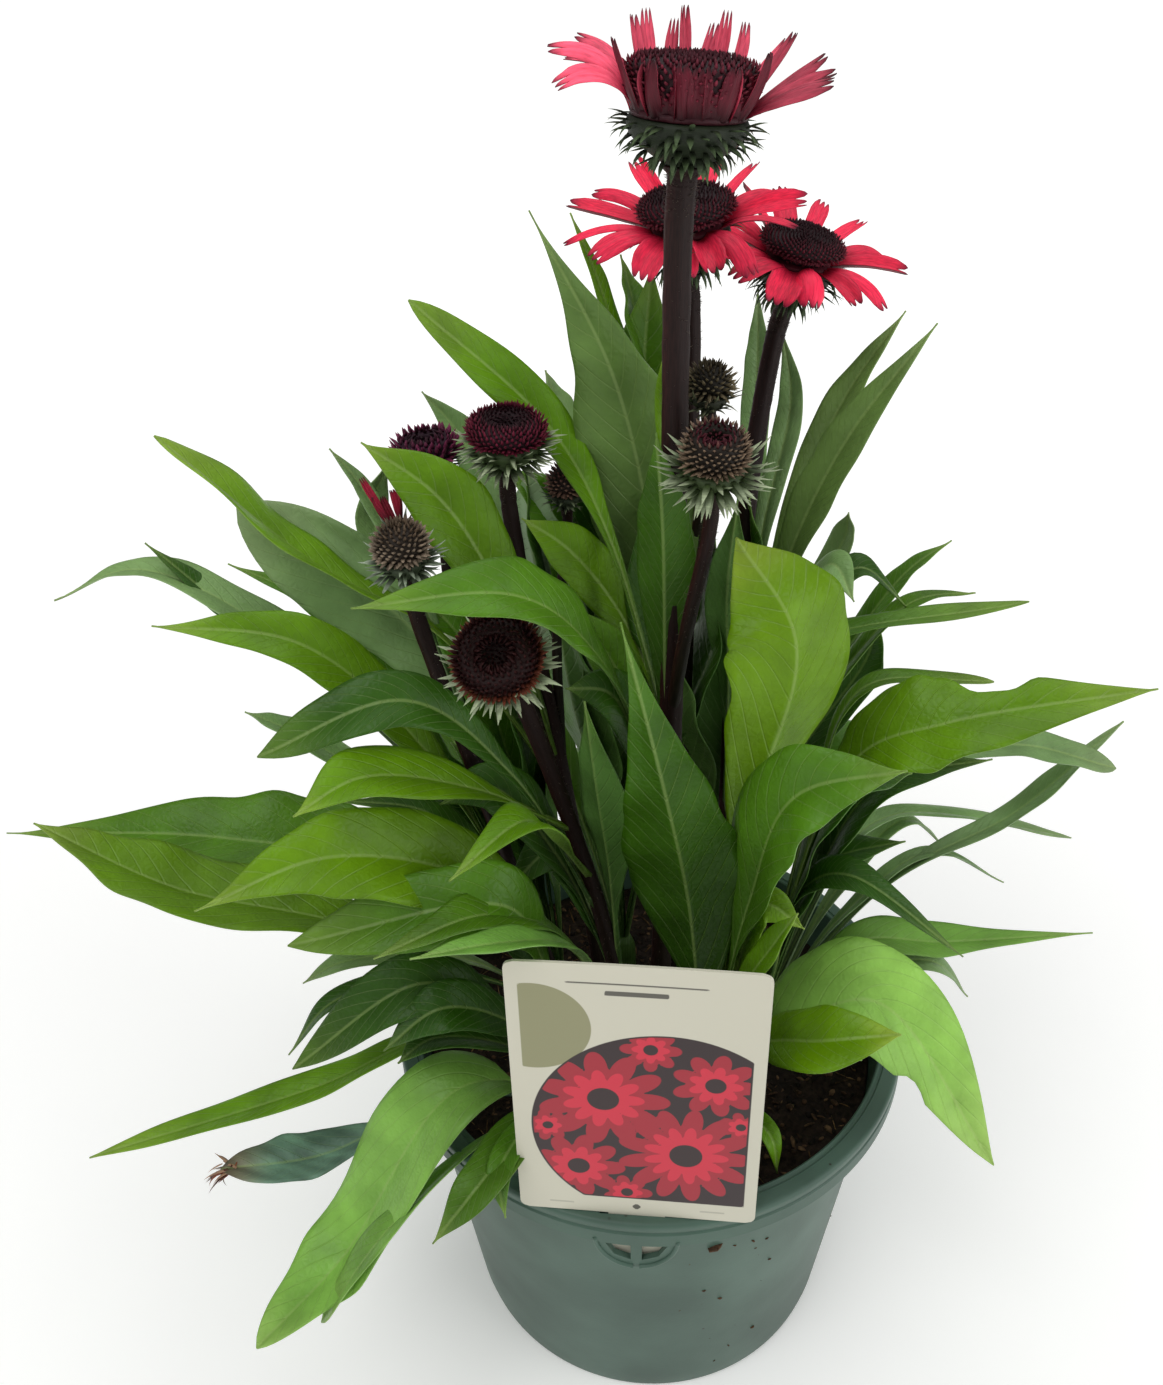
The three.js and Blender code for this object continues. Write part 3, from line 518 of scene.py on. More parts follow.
@dataclass
class Gather:
    """Closed surfaces gathered into one mesh, with named values at their points."""

    quads: list[Array] = field(default_factory=list)
    tris: list[Array] = field(default_factory=list)
    fields: dict[str, list[Array]] = field(default_factory=dict)  # the points are the one with no name
    count: int = 0

    def tubes(self, rings: Array, closure: Closure = Closure.FAN, **fields: Array) -> None:
        """Skins tubes over their rings, which run anticlockwise seen from the far end, and closes their ends.

        Args:
            rings: tubes, rings, points and x, y, z.
            closure: how the ends close.
            fields: values of three numbers that spread to the points of the rings.
        """
        tubes, rows, sides, _ = rings.shape
        for name, value in {"": rings, **fields}.items():
            whole = np.broadcast_to(value, rings.shape)
            flat = whole.reshape(tubes, rows * sides, 3)
            if closure is Closure.FAN:
                flat = np.concatenate([flat, whole[:, [0, -1]].mean(axis=2)], axis=1)
            self.fields.setdefault(name, []).append(flat.reshape(-1, 3))
        size = flat.shape[1]
        start = (self.count + size * np.arange(tubes))[:, None, None]
        i = np.arange(sides)
        j = (i + 1) % sides
        low = sides * np.arange(rows - 1)[:, None]
        skin = np.stack([low + i, low + j, low + sides + j, low + sides + i], axis=-1).reshape(1, -1, 4)
        self.quads.append((start + skin).reshape(-1, 4))
        far = (rows - 1) * sides
        if closure is Closure.FAN:
            foot = np.stack([np.full(sides, size - 2), j, i], axis=-1)
            crown = np.stack([np.full(sides, size - 1), far + i, far + j], axis=-1)
            self.tris.append((start + np.concatenate([foot, crown])[None]).reshape(-1, 3))
        else:
            k = np.arange(sides // 2 - 1)
            foot = np.stack([k + 1, k, sides - 1 - k, sides - 2 - k], axis=-1)
            crown = far + np.stack([k, k + 1, sides - 2 - k, sides - 1 - k], axis=-1)
            self.quads.append((start + np.concatenate([foot, crown])[None]).reshape(-1, 4))
        self.count += tubes * size

    def mesh(self, name: str) -> bpy.types.Mesh:
        """Makes the mesh.

        Args:
            name: the mesh's name.

        Returns:
            The gathered surfaces as one smooth mesh in metres, with the named values as attributes.
        """
        values = {key: np.concatenate(parts) for key, parts in self.fields.items()}
        points, quads = values.pop(""), np.concatenate(self.quads)
        tris = np.concatenate(self.tris) if self.tris else np.zeros((0, 3), int)
        made = bpy.data.meshes.new(name)
        made.vertices.add(len(points))
        made.vertices.foreach_set("co", (points * MM).astype(np.float32).ravel())
        corners = np.concatenate([quads.ravel(), tris.ravel()])
        made.loops.add(len(corners))
        made.loops.foreach_set("vertex_index", corners.astype(np.int32))
        starts = np.concatenate([4 * np.arange(len(quads)), 4 * len(quads) + 3 * np.arange(len(tris))])
        made.polygons.add(len(starts))
        made.polygons.foreach_set("loop_start", starts.astype(np.int32))
        made.update(calc_edges=True)
        made.polygons.foreach_set("use_smooth", np.ones(len(starts), bool))
        for key, value in values.items():
            kept = made.attributes.new(key, "FLOAT_VECTOR", "POINT")
            kept.data.foreach_set("vector", value.astype(np.float32).ravel())
        return made


@cache
def dressed(finish: Finish) -> bpy.types.Material:
    """The finish's material, made once."""
    return finish.material()


def show(name: str, mesh: bpy.types.Mesh, finish: Finish, slot: str | None, *nodes: str) -> bpy.types.Object:
    """Adds a piece to the object.

    Args:
        name: the piece's name.
        mesh: its surface, where it stands on the object.
        finish: its material.
        slot: the record's material slot, if it has one; not used.
        nodes: the CAD nodes that it stands for.

    Returns:
        The piece.
    """
    piece = bpy.data.objects.new(name, mesh)
    bpy.context.scene.collection.objects.link(piece)
    mesh.materials.clear()
    mesh.materials.append(dressed(finish))
    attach(piece, BODY)
    if nodes:
        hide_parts(*nodes)
    LOG.info("%s: %d points, %s", name, len(mesh.vertices), finish.name)
    return piece


# ---------- leaves ----------


class Tone(Enum):
    """Leaf greens: the upper side, the underside and the tip."""

    BRIGHT = ("#5c8606", "#7d9f42", "#86a03a")
    YELLOW = ("#5c8400", "#5e8600", "#94a83a")
    MID = ("#4a7412", "#75984c", "#7a963a")
    DEEP = ("#3a6408", "#38600a", "#5c8a20")
    DARK = ("#2e540c", "#5a803c", "#5c7a2c")
    PALE = ("#709e40", "#8cb068", "#8fae58")
    LIGHT = ("#88ba50", "#9cc078", "#9aba60")
    GREY = ("#64823e", "#8ca272", "#86a060")
    # pale grey-green of painted sky reflection, for leaves seen at a grazing angle
    SILVER = ("#76965a", "#9cb48a", "#8a9c6c")
    # withered leaf: its light blue-grey blade is partly its own colour and partly painted reflection; the
    # brown tip is its own
    WITHERED = ("#6c9078", "#86a48e", "#94644a")


@dataclass(frozen=True)
class Blade:
    """Sizes that every leaf shares."""

    rib: float = 0.75  # half the thickness at the midrib, on the underside
    edge: float = 0.2  # half the thickness at the margin
    petiole: float = 1.2  # half the thickness of the stalk
    petiole_edge: float = 0.6  # the same at the stalk's sides
    stalk: float = 1.5  # half the width of the stalk
    fold: float = 0.25  # rise of the margins, as a share of half the width
    cup: float = 0.07  # rise of the lamina between midrib and margin, as a share of half the width
    curve: float = 1.15  # power by which the margins rise and the side veins bend forward
    bulge: float = 0.16  # bow of the stalk, as a share of its span
    start: float = 0.2  # where the blade starts along the leaf
    widest: float = 0.48  # where along the blade it is widest
    taper: float = 1.45  # how fast it narrows towards the tip
    tip: float = 0.22  # half the width at the tip
    uneven: float = 0.03  # swing of the margin's outline, as a share of half the width
    bay: float = 5.5  # length of the outline's swings, over a full turn
    wave: float = 0.11  # height of the margin's waves, as a share of half the width
    ripples: Pair = (7.5, 8.7)  # length of the waves on each side, over a full turn
    quilt: float = 0.2  # depth of the lamina at its side veins
    vein: Triple = (0.4, 5, 11)  # their distance: share of the width, least and most
    slant: float = 2.4  # how steeply the side veins run towards the tip
    step: float = 2.75  # length of one row
    rows: tuple[int, int] = (20, 90)  # fewest and most
    crowd: float = 0.92  # power that sets the rows closer towards the tip
    upright: float = 18  # a blade whose tip reaches out less than this takes its heading from its stalk
    fade: float = 0.6  # share of the tip's colour at the tip
    painted_base_shade: float = 0.38  # brightness of the painted shade at the base, deep in the plant
    threads: int = 26  # that a withered tip breaks up into

    def profile(self, s: Array, widest: float, point: float) -> Array:
        """Outline of a blade: s to a power, times 1 - s to another, scaled to 1 at its highest.

        Args:
            s: places along the blade, from 0 to 1.
            widest: the place where it is widest.
            point: how slim the tip is.

        Returns:
            Half the width as a share of the widest.
        """
        taper = self.taper * point * (1 - widest) / (1 - self.widest)
        rise = taper * widest / (1 - widest)
        top = widest**rise * (1 - widest) ** taper
        return s**rise * (1 - s) ** taper / top


BLADE = Blade()
ACROSS = np.array([-1, -0.86, -0.68, -0.48, -0.28, -0.1, 0, 0.1, 0.28, 0.48, 0.68, 0.86, 1])
OUT = np.abs(ACROSS)[None]  # distance from the midrib as a share of half the width


@dataclass(frozen=True)
class Spine:
    """The curve that a leaf is built about, with a row for each of its rings."""

    u: Array  # share of the leaf, from 0 at its base to 1 at its tip, as a column
    s: Array  # share of the blade, which starts part of the way along, as a column
    length: float
    centre: Array
    along: Array
    side: Array  # the way that the blade spreads
    up: Array  # the way that its upper side looks

    def place(self, across: Array, height: Array) -> Array:
        """Points this far across the curve and this high over it."""
        level = self.centre[:, None] + self.side[:, None] * across[..., None]
        return level + self.up[:, None] * height[..., None]


@dataclass(frozen=True)
class Leaf:
    """A leaf from its height on a stem, over the middle of its blade, to its tip.

    A bite is a place along the blade, a side, a depth as a share of half the width and a length as a share of
    the blade.
    """

    z: float
    middle: Triple
    tip: Triple
    width: float
    roll: float
    tone: Tone
    widest: float = BLADE.widest
    start: float = BLADE.start
    arch: float = BLADE.bulge
    point: float = 1.0  # how slim the tip is: under 1 it is blunt
    bites: tuple[tuple[float, int, float, float], ...] = ()

    def spine(self, base: Array) -> Spine:
        """The leaf's curve: a spline from its base over an elbow and its middle to its tip, and its roll.

        Args:
            base: its place on the stem.

        Returns:
            The curve.
        """
        middle, tip = np.array(self.middle, float), np.array(self.tip, float)
        span = np.linalg.norm(middle - base)
        elbow = (base + middle) / 2 + Z * self.arch * span
        length = span + np.linalg.norm(tip - middle)
        u = np.linspace(0, 1, int(np.clip(length / BLADE.step, *BLADE.rows))) ** BLADE.crowd
        centre = spline(np.stack([base, elbow, middle, tip]), u)
        along = unit(np.gradient(centre, u, axis=0))
        heading = (tip - elbow) * (1, 1, 0)
        if np.linalg.norm(heading) < BLADE.upright:
            heading = (middle - base) * (1, 1, 0)
        level = np.cross(Z, unit(heading))
        flat = unit(level - along * (along @ level)[:, None])
        rise = np.cross(along, flat)
        turn = np.radians(self.roll) * np.minimum(1, 3 * u)[:, None]
        side, up = flat * np.cos(turn) + rise * np.sin(turn), rise * np.cos(turn) - flat * np.sin(turn)
        s = np.clip((u - self.start) / (1 - self.start), 0, 1)[:, None]
        return Spine(u[:, None], s, length, centre, along, side, up)

    def half(self, spine: Spine, seed: int) -> Array:
        """Half the width, towards each point across: the outline, less its bites, swung by a sine.

        Args:
            spine: the leaf's curve.
            seed: for the start of the swings.

        Returns:
            A row for each ring.
        """
        s, y = spine.s, ACROSS[None]
        margin = 1 + BLADE.uneven * np.sin(spine.length * s / BLADE.bay + 3 * y + seed) * s * (1 - s) * 4
        for place, edge, depth, reach in self.bites:
            margin = margin * (1 - depth * (y * edge > 0) * np.exp(-(((s - place) / reach) ** 4)))
        blade = self.width / 2 * BLADE.profile(s, self.widest, self.point)
        return np.maximum(BLADE.tip, BLADE.stalk * (1 - spine.u) + blade) * margin

    def lift(self, spine: Spine, half: Array, veins: Array, phase: Array) -> Array:
        """Height over the curve: folded up from the midrib, waved at the margins and quilted between veins.

        Args:
            spine: the leaf's curve.
            half: half the width towards each point.
            veins: count of the side veins at each point.
            phase: where the waves of each side start.

        Returns:
            A row for each ring.
        """
        s = spine.s
        left, right = (np.sin(spine.length * s / size + start) for size, start in zip(BLADE.ripples, phase))
        ripple = np.where(ACROSS[None] < 0, left, right)
        folded = half * (BLADE.fold * OUT**BLADE.curve + BLADE.cup * np.sin(np.pi * OUT)
                         + BLADE.wave * ripple * OUT**1.7 * np.sqrt(s))
        quilt = BLADE.quilt * np.abs(np.sin(np.pi * veins)) * np.sin(np.pi * OUT) * np.minimum(1, 6 * s)
        return folded + quilt

    def skins(self, spine: Spine, across: Array) -> tuple[Array, Array]:
        """Thickness under and over the middle surface: a stalk that thins into a blade with a midrib below.

        Args:
            spine: the leaf's curve.
            across: distance from the midrib, in millimetres.

        Returns:
            The part below and the part above.
        """
        blade = np.minimum(1, spine.u / self.start)
        edge = (1 - blade) * BLADE.petiole_edge + blade * BLADE.edge
        rib = ((1 - blade) * BLADE.petiole + blade * BLADE.rib) * (1 - 0.6 * spine.s)
        under = edge + (rib - edge) * np.exp(-((across / 0.9) ** 2))
        groove = 0.5 * blade * edge * np.exp(-((across / 0.8) ** 2))
        return under, edge - groove + (1 - blade) * (1 - OUT) * BLADE.petiole_edge

    def tint(self, u: Array, rng: Random) -> Array:
        """Its greens, each leaf a little off, with painted shade towards the base and with the tip's own
        colour.

        Args:
            u: share of the leaf, as a column.
            rng: for the leaf's own shade.

        Returns:
            A colour for each point of each ring.
        """
        upper, lower, end = (linear(code) for code in self.tone.value)
        fade = smoothstep(u, 0.8, 1.0)[..., None]
        both = np.where((np.arange(2 * len(ACROSS)) < len(ACROSS))[None, :, None], lower, upper)
        tint = both * (1 - BLADE.fade * fade) + end * BLADE.fade * fade
        tint = tint * rng.uniform(0.9, 1.1) * rng.uniform(0.96, 1.04, 3)
        # painted shade: each leaf darkens towards its base, deep in the plant where shade falls
        return tint * (BLADE.painted_base_shade + (1 - BLADE.painted_base_shade) * smoothstep(u, 0.05, 0.62))[..., None]

    def grow(self, gather: Gather, base: Array, seed: int) -> None:
        """Adds the leaf: a V of two quilted halves whose margins wave, about a ribbed curve from base to tip.

        Args:
            gather: the mesh that gets the leaf.
            base: its place on the stem.
            seed: for its waves and its shade of green.
        """
        rng = np.random.default_rng(seed)
        spine = self.spine(base)
        half = self.half(spine, seed)
        across = ACROSS[None] * half
        share, least, most = BLADE.vein
        veins = spine.length * spine.u - BLADE.slant * OUT**BLADE.curve * half
        veins = veins / np.clip(share * self.width, least, most)
        lift = self.lift(spine, half, veins, rng.uniform(0, FULL_TURN, 2))
        under, over = self.skins(spine, across)
        rings = both_faces(spine.place(across, lift - under), spine.place(across, lift + over))[None]
        tint = self.tint(spine.u, rng)
        if self.tone is Tone.WITHERED:
            tint = tint * (0.9 + 0.55 * waves(rings[0], 13, seed)[..., None])
            self.fray(gather, spine.along[-1], rng)
        flat = np.stack([veins, across, np.broadcast_to(ACROSS, across.shape)], axis=-1)
        gather.tubes(rings, Closure.ZIP, tint=tint, place=both_faces(flat, flat))

    def fray(self, gather: Gather, along: Array, rng: Random) -> None:
        """Adds the dry threads that a withered tip breaks up into.

        Args:
            gather: the mesh that gets the threads.
            along: the leaf's direction at its tip.
            rng: for their sizes.
        """
        count = BLADE.threads
        azimuth = np.arctan2(along[1], along[0]) + rng.normal(0, 0.7, count)
        root = np.array(self.tip) - along * rng.uniform(0, 7, (count, 1)) + rng.normal(0, 0.9, (count, 3))
        length = rng.uniform(3, 12, count)
        threads = needles(root, azimuth, rng.normal(-0.1, 0.4, count), rng.normal(-1.0, 0.8, count), length,
                          rng.uniform(0.5, 1.3, count), 0.5, 8)
        tint = palette("#8c4a34", "#b08a70", "#5c3626")[rng.integers(3, size=count)]
        gather.tubes(threads, Closure.ZIP, tint=tint[:, None, None], place=threads)


# ---------- heads ----------


def needles(root: Array, azimuth: Array, rise: Array, curl: Array, length: Array,
            width: Array, flat: float = 0.35, rows: int = 6, belly: float = 0.25) -> Array:
    """Pointed blades that leave their roots at a rise and turn by a curl on the way to their tips.

    A ring has six points, and its width grows to the belly and then falls to a point.

    Args:
        root: one point a blade.
        azimuth: which way each blade leaves the axis.
        rise: angle over the horizon at the root.
        curl: what that angle gains by the tip.
        length: one a blade.
        width: one a blade.
        flat: thickness as a share of the width.
        rows: rings in a blade.
        belly: where along the blade it is widest.

    Returns:
        Blades, rings, points and x, y, z.
    """
    s = np.linspace(0, 1, rows)[None]
    angle, reach, climb = arc(rise[:, None], curl[:, None], length[:, None], s)
    out = polar(1, azimuth, 0)[:, None]
    across = np.cross(Z, out)
    centre = root[:, None] + out * reach[..., None] + Z * climb[..., None]
    up = Z * np.cos(angle)[..., None] - out * np.sin(angle)[..., None]
    swell = np.where(s < belly, 0.7 + 0.3 * s / belly, 1 - (np.maximum(0, s - belly) / (1 - belly)) ** 1.6)
    half = width[:, None] / 2 * np.maximum(swell, 0.06)
    y = np.array([-1, 0, 1, 1, 0, -1])
    z = np.array([-0.25, -1, -0.25, 0.25, 0.5, 0.25]) * flat
    return (centre[:, :, None] + across[:, :, None] * (half[..., None] * y)[..., None]
            + up[:, :, None] * (half[..., None] * z)[..., None])


def gradient(rows: int, *stops: str) -> Array:
    """A needle's colours in even steps through the stops from root to tip, one for each ring."""
    at = np.linspace(0, len(stops) - 1, rows)
    return between(at, np.arange(len(stops)), palette(*stops))[None, :, None]


@dataclass(frozen=True)
class Bracts:
    """The green bracts round the base of a head, in rows from the stem up."""

    rows: int
    each: int
    length: float
    low: float  # rise of the lowest row, degrees
    high: float  # rise of the highest row
    curl: float
    root: str
    tip: str
    width: float = 1.25

    FLAT = 0.42  # thickness as a share of the width
    RINGS = 6  # along each bract


@dataclass(frozen=True)
class Florets:
    """Chaffy florets in a spiral over a turned surface, coloured from the rim to the middle."""

    profile: tuple[Pair, ...]
    count: int
    length: Pair  # at the rim and in the middle
    width: float
    lean: float  # how far they lean up from the surface's own direction, degrees
    dark: str
    tip: str
    middle: str
    inner: Pair = (0.5, 0.85)  # where the rim's colour gives way to the middle's

    FLAT = 0.9  # thickness as a share of the width
    RINGS = 4  # along each floret
    BELLY = 0.3  # where along a floret it is widest
    SUNK = 0.3  # depth of their roots in the surface

    def seats(self) -> tuple[Array, ...]:
        """Where the florets stand: at even shares of the turned surface's area.

        Returns:
            The outline, and for each floret its radius, its height and the slope of the outline there.
        """
        line = spline(np.array(self.profile, float), np.linspace(0, 1, 160))
        knots = np.arange(len(line))
        steps = np.linalg.norm(np.diff(line, axis=0), axis=1)
        area = np.append(0, np.cumsum(steps * (line[1:, 0] + line[:-1, 0]) / 2))
        at = np.interp((np.arange(self.count) + 0.5) / self.count * area[-1], area, knots)
        return line, *between(at, knots, line).T, *between(at, knots, np.gradient(line, axis=0)).T

    def tint(self, share: Array, rng: Random) -> Array:
        """The rim's colours giving way to the middle's, each floret a little off.

        Args:
            share: place of each floret from the rim to the middle, from 0 to 1.
            rng: for the florets' own shades.

        Returns:
            A colour for each ring of each floret.
        """
        rim = gradient(self.RINGS, self.dark, self.tip, self.tip)
        heart = gradient(self.RINGS, self.middle, self.middle, self.middle)
        mix = smoothstep(share, *self.inner)[:, None, None, None]
        return (rim * (1 - mix) + heart * mix) * rng.uniform(0.7, 1.3, (self.count, 1, 1, 1))


@dataclass(frozen=True)
class Rays:
    """The petals: how many, their width, the radius that they leave from, and how they open."""

    count: int
    width: float
    seat: float
    form: Callable[[Array, Array], tuple[Array, ...]]
    upper: tuple[str, str, str] = ("#b81434", "#fa2c52", "#6c1030")
    under: tuple[str, str, str] = ("#4c0e1c", "#8c1c36", "#3a0c16")
    notch: float = 0.15  # depth of the notches between its three teeth
    turn: float = 0.45  # how far the side rays turn their upper faces to the front

    THICK = 0.16  # half the thickness in the middle
    CHANNEL = 0.34  # depth of the channel along a ray, as a share of half its width
    RIDGE = 0.16  # height of the ridges between its veins
    SUNK = 0.4  # depth of the root in the hub
    SWAY = 0.05  # how far the tips stray sideways, as a share of the length
    STOPS = (0, 0.45, 0.86, 1)  # places of the root's, the blade's, again the blade's and the tip's colour
    OUTLINE = ((0, 0.34, 0.7, 1), (0.62, 0.92, 1, 0.76))  # places, and the share of the width there

    def straps(self, rng: Random, hub: float) -> tuple[Array, Array, Array, Array]:
        """Channelled straps on arcs, with three teeth at the tip.

        Across a ray the end lies further out at three teeth: the length is cut by 1 - |cos(3/2 pi y)|.

        Args:
            rng: for the differences between the rays.
            hub: thickness of the hub that they leave.

        Returns:
            The rings, each point's share of the length, its place on the flat ray, and each ray's brightness.
        """
        i = np.arange(self.count)
        azimuth = around(self.count)
        form = (np.asarray(values, float)[:, None, None] for values in self.form(azimuth, i))
        start, end, length, wide, tone_and_painted_light = form
        y = np.linspace(-1, 1, 13)[None, None]
        s = np.linspace(0, 1, 22)[None, :, None]
        at = s * (1 - self.notch * (1 - np.abs(np.cos(1.5 * np.pi * y))) ** 1.3)
        angle, reach, climb = arc(np.radians(start), np.radians(end - start), length, at)
        half = wide * self.width / 2 * np.interp(at, *self.OUTLINE)
        half = half * rng.uniform(0.85, 1.05, (self.count, 1, 1))
        sway = rng.normal(0, self.SWAY, (self.count, 1, 1)) * length * at**2
        lean = self.turn * np.cos(azimuth)[:, None, None]
        twist = (rng.normal(0, 0.25, (self.count, 1, 1)) + lean) * np.minimum(1, 1.6 * at)
        channel = (half * (self.CHANNEL * (2 * y**2 - 1)) * np.cos(2.6 * i)[:, None, None]
                   + self.RIDGE * np.cos(3 * np.pi * y) * np.minimum(1, 3 * at))
        out = polar(1, azimuth, 0)[:, None, None]
        across = np.cross(Z, out)
        up = Z * np.cos(angle)[..., None] - out * np.sin(angle)[..., None]
        foot = out * (self.seat - self.SUNK + reach)[..., None] + Z * (climb + hub / 2)[..., None]
        thin = self.THICK * (1 - 0.5 * y**2)
        cos, sin = np.cos(twist), np.sin(twist)

        def face(height: Array) -> Array:
            """Points at a height over the strap's middle surface, turned by its twist."""
            level = y * half * cos - height * sin + sway
            return foot + across * level[..., None] + up * (height * cos + y * half * sin)[..., None]

        flat = np.stack([length * at, y * half, 0 * half + i[:, None, None]], axis=-1)
        return both_faces(face(channel - thin), face(channel + thin)), at, both_faces(flat, flat), tone_and_painted_light

    def tint(self, at: Array, shade: Array) -> Array:
        """Colours of both faces at each share of the length, each ray at its own tone and painted light."""
        sides = (palette(root, blade, blade, tip) for root, blade, tip in (self.under, self.upper))
        return both_faces(*(between(at, self.STOPS, side) * shade[..., None] for side in sides))


def facing(azimuth: Array) -> tuple[Array, ...]:
    """How far each azimuth looks to the front, the back, the left and the right, from 0 to 1."""
    right, back = np.cos(azimuth), np.sin(azimuth)
    return tuple(np.maximum(0, way) for way in (-back, back, -right, right))


def half_open(azimuth: Array, i: Array) -> tuple[Array, ...]:
    """Rays that still stand round a young cone: pressed to it in front, narrow behind, arched on the left.

    Args:
        azimuth: of each ray.
        i: number of each ray.

    Returns:
        Rise at the root and at the tip in degrees, length, share of the full width, and painted light and
        shade.
    """
    front, back, left, right = facing(azimuth)
    near = smoothstep(front, 0.25, 0.6)
    ray = (1 - near) * np.stack([back**1.5, left**5, right**2])
    weights = np.concatenate([near[None], ray / np.maximum(ray.sum(axis=0), 1e-6) * (1 - near)])
    # Each row: rise at the root and at the tip in degrees, length, share of the width, and brightness, which
    # is painted light on the left and painted shade in front and on the right.
    kinds = np.array([
        [58, 106, 11.5, 1.15, 0.5],  # in front
        [62, 84, 20.2, 0.7, 0.85],  # behind
        [72, -28, 24, 1.12, 1.1],  # on the left
        [38, 30, 22, 0.95, 0.55],  # on the right
    ])
    start, end, length, wide, tone_and_painted_light = kinds.T @ weights
    uneven = 1 - 0.7 * near
    return (start + 4 * uneven * np.sin(4 * i), end + 16 * uneven * np.sin(2.3 * i + 3.9),
            length * (1 + 0.07 * np.sin(3 * i)), wide, tone_and_painted_light * (1 + 0.12 * np.sin(5 * i)))


def fully_open(azimuth: Array, i: Array) -> tuple[Array, ...]:
    """Rays that spread and droop, most of all in front.

    Args:
        azimuth: of each ray.
        i: number of each ray.

    Returns:
        The same five values as half_open.
    """
    front, back, left, right = facing(azimuth)
    start = 14 + 8 * np.sin(2.4 * i) + 20 * back + 12 * (left + right)
    end = -26 - 34 * front + 34 * back**2 + 20 * left + 4 * right + 18 * np.sin(3.7 * i + 1)
    wide = 0.84 + 0.3 * front**2 + 0.12 * np.sin(2 * i)
    return start, end, 25 + 2 * np.sin(5 * i) - 7 * front + 2 * left, wide, 0.94 + 0.14 * np.sin(4.1 * i)


def closed(azimuth: Array, i: Array) -> tuple[Array, ...]:
    """Rays that only start to show: the same five values as half_open."""
    even = np.ones_like(azimuth)
    return 66 + 8 * np.sin(3 * i), 84 + 26 * np.sin(3 * i), 12 + 4 * np.sin(4 * i), even, even


@dataclass(frozen=True)
class Head:
    """A flower head or bud: where its stem ends, the way it looks, its cup and what stands on it."""

    name: str
    base: Triple
    axis: Triple
    radius: float  # of the cup
    height: float  # of the cup
    neck: float  # radius of the cup at the stem
    bracts: Bracts
    florets: Florets | None = None
    rays: Rays | None = None

    GAP = 0.3  # between the parts of a head
    HUB = 1.5  # thickness of the rays' hub

    def way(self) -> Array:
        """The direction that the head looks in."""
        return unit(np.array(self.axis, float))

    def placed(self, rings: Array, z: float = 0) -> Array:
        """Sets rings that are modelled on the z axis on the head: turned the shortest way, then moved.

        The turn is 1 + W + W W / (1 + c), where W is the cross product with the axis turned about and c the
        cosine of the turn.

        Args:
            rings: points of any shape.
            z: their height over the head's base.

        Returns:
            The points in place.
        """
        way = self.way()
        spin = np.cross(Z, way)
        wedge = np.array([[0, -spin[2], spin[1]], [spin[2], 0, -spin[0]], [-spin[1], spin[0], 0]])
        turn = np.eye(3) + wedge + wedge @ wedge / (1 + way[2])
        return (rings + Z * z) @ turn.T + np.array(self.base, float) + way * self.GAP

    def wide(self, z: Array) -> Array:
        """The cup's radius at a height: a quarter sine from the neck out to the full radius."""
        rise = np.minimum(1, z / (0.85 * self.height))
        return self.neck + (self.radius - self.neck) * np.sin(np.pi / 2 * rise)

    def add_bracts(self, seed: int) -> None:
        """Adds the cup and its rows of bracts, which hook outwards.

        Args:
            seed: for the differences between the bracts.
        """
        rng = np.random.default_rng(seed)
        spec, gather = self.bracts, Gather()
        z = np.linspace(0, self.height, 12)
        cup = turned(np.stack([np.append(self.wide(z[:-1]), self.radius - 0.5), z], axis=1), 36)
        gather.tubes(self.placed(cup), tint=linear(spec.root) * 0.8, place=cup)
        row = np.repeat(np.arange(spec.rows), spec.each)
        many = len(row)
        share = row / (spec.rows - 1)
        azimuth = np.arange(many) * FULL_TURN / spec.each + 2.4 * row + rng.normal(0, 0.08, many)
        level = self.height * (0.12 + 0.8 * share)
        root = polar(self.wide(level) - 0.3, azimuth, level)
        rise = np.radians(spec.low + (spec.high - spec.low) * share + rng.normal(0, 13, many))
        curl = np.radians(spec.curl + rng.normal(0, 24, many))
        length = spec.length * (0.86 + 0.16 * share) * rng.uniform(0.85, 1.18, many)
        width = spec.width * rng.uniform(0.8, 1.15, many)
        rings = needles(root, azimuth, rise, curl, length, width, spec.FLAT, spec.RINGS)
        tint = gradient(spec.RINGS, spec.root, spec.root, spec.tip, spec.tip)
        tint = tint * rng.uniform(0.7, 1.2, (many, 1, 1, 1))
        gather.tubes(self.placed(rings), Closure.ZIP, tint=tint, place=rings)
        show(f"{self.name}_bract_rows", gather.mesh("bracts"), BRACT, "bract", f"{self.name}_bracts")

    def add_florets(self, seed: int, slot: str) -> None:
        """Adds the florets on their core, each a golden angle from the one before.

        Args:
            seed: for the differences between the florets.
            slot: the record's material slot for them.
        """
        rng = np.random.default_rng(seed)
        spec, gather = self.florets, Gather()
        lift = self.height + self.GAP + (self.HUB + self.GAP if self.rays else 0)
        line, r, z, dr, dz = spec.seats()
        core = turned(np.stack([np.maximum(line[::5, 0] - spec.SUNK, 0.05), line[::5, 1]], axis=1), 32)
        gather.tubes(self.placed(core, lift), tint=linear(spec.dark) * 0.5, place=core)
        i = np.arange(spec.count)
        azimuth, share = i * GOLDEN_ANGLE, i / spec.count
        root = polar(r - spec.SUNK, azimuth, z)
        rise = np.arctan2(-dr, dz) + np.radians(spec.lean) * (1 - share) + rng.normal(0, 0.17, spec.count)
        rim, middle = spec.length
        length = (rim + (middle - rim) * share) * rng.uniform(0.7, 1.25, spec.count)
        rings = needles(root, azimuth, rise, 0.25 * (1 - share), length, spec.width * (1 - 0.3 * share),
                        spec.FLAT, spec.RINGS, spec.BELLY)
        gather.tubes(self.placed(rings, lift), Closure.ZIP, tint=spec.tint(share, rng), place=rings)
        show(f"{self.name}_floret_spiral", gather.mesh("florets"), FLORET, slot, f"{self.name}_florets")

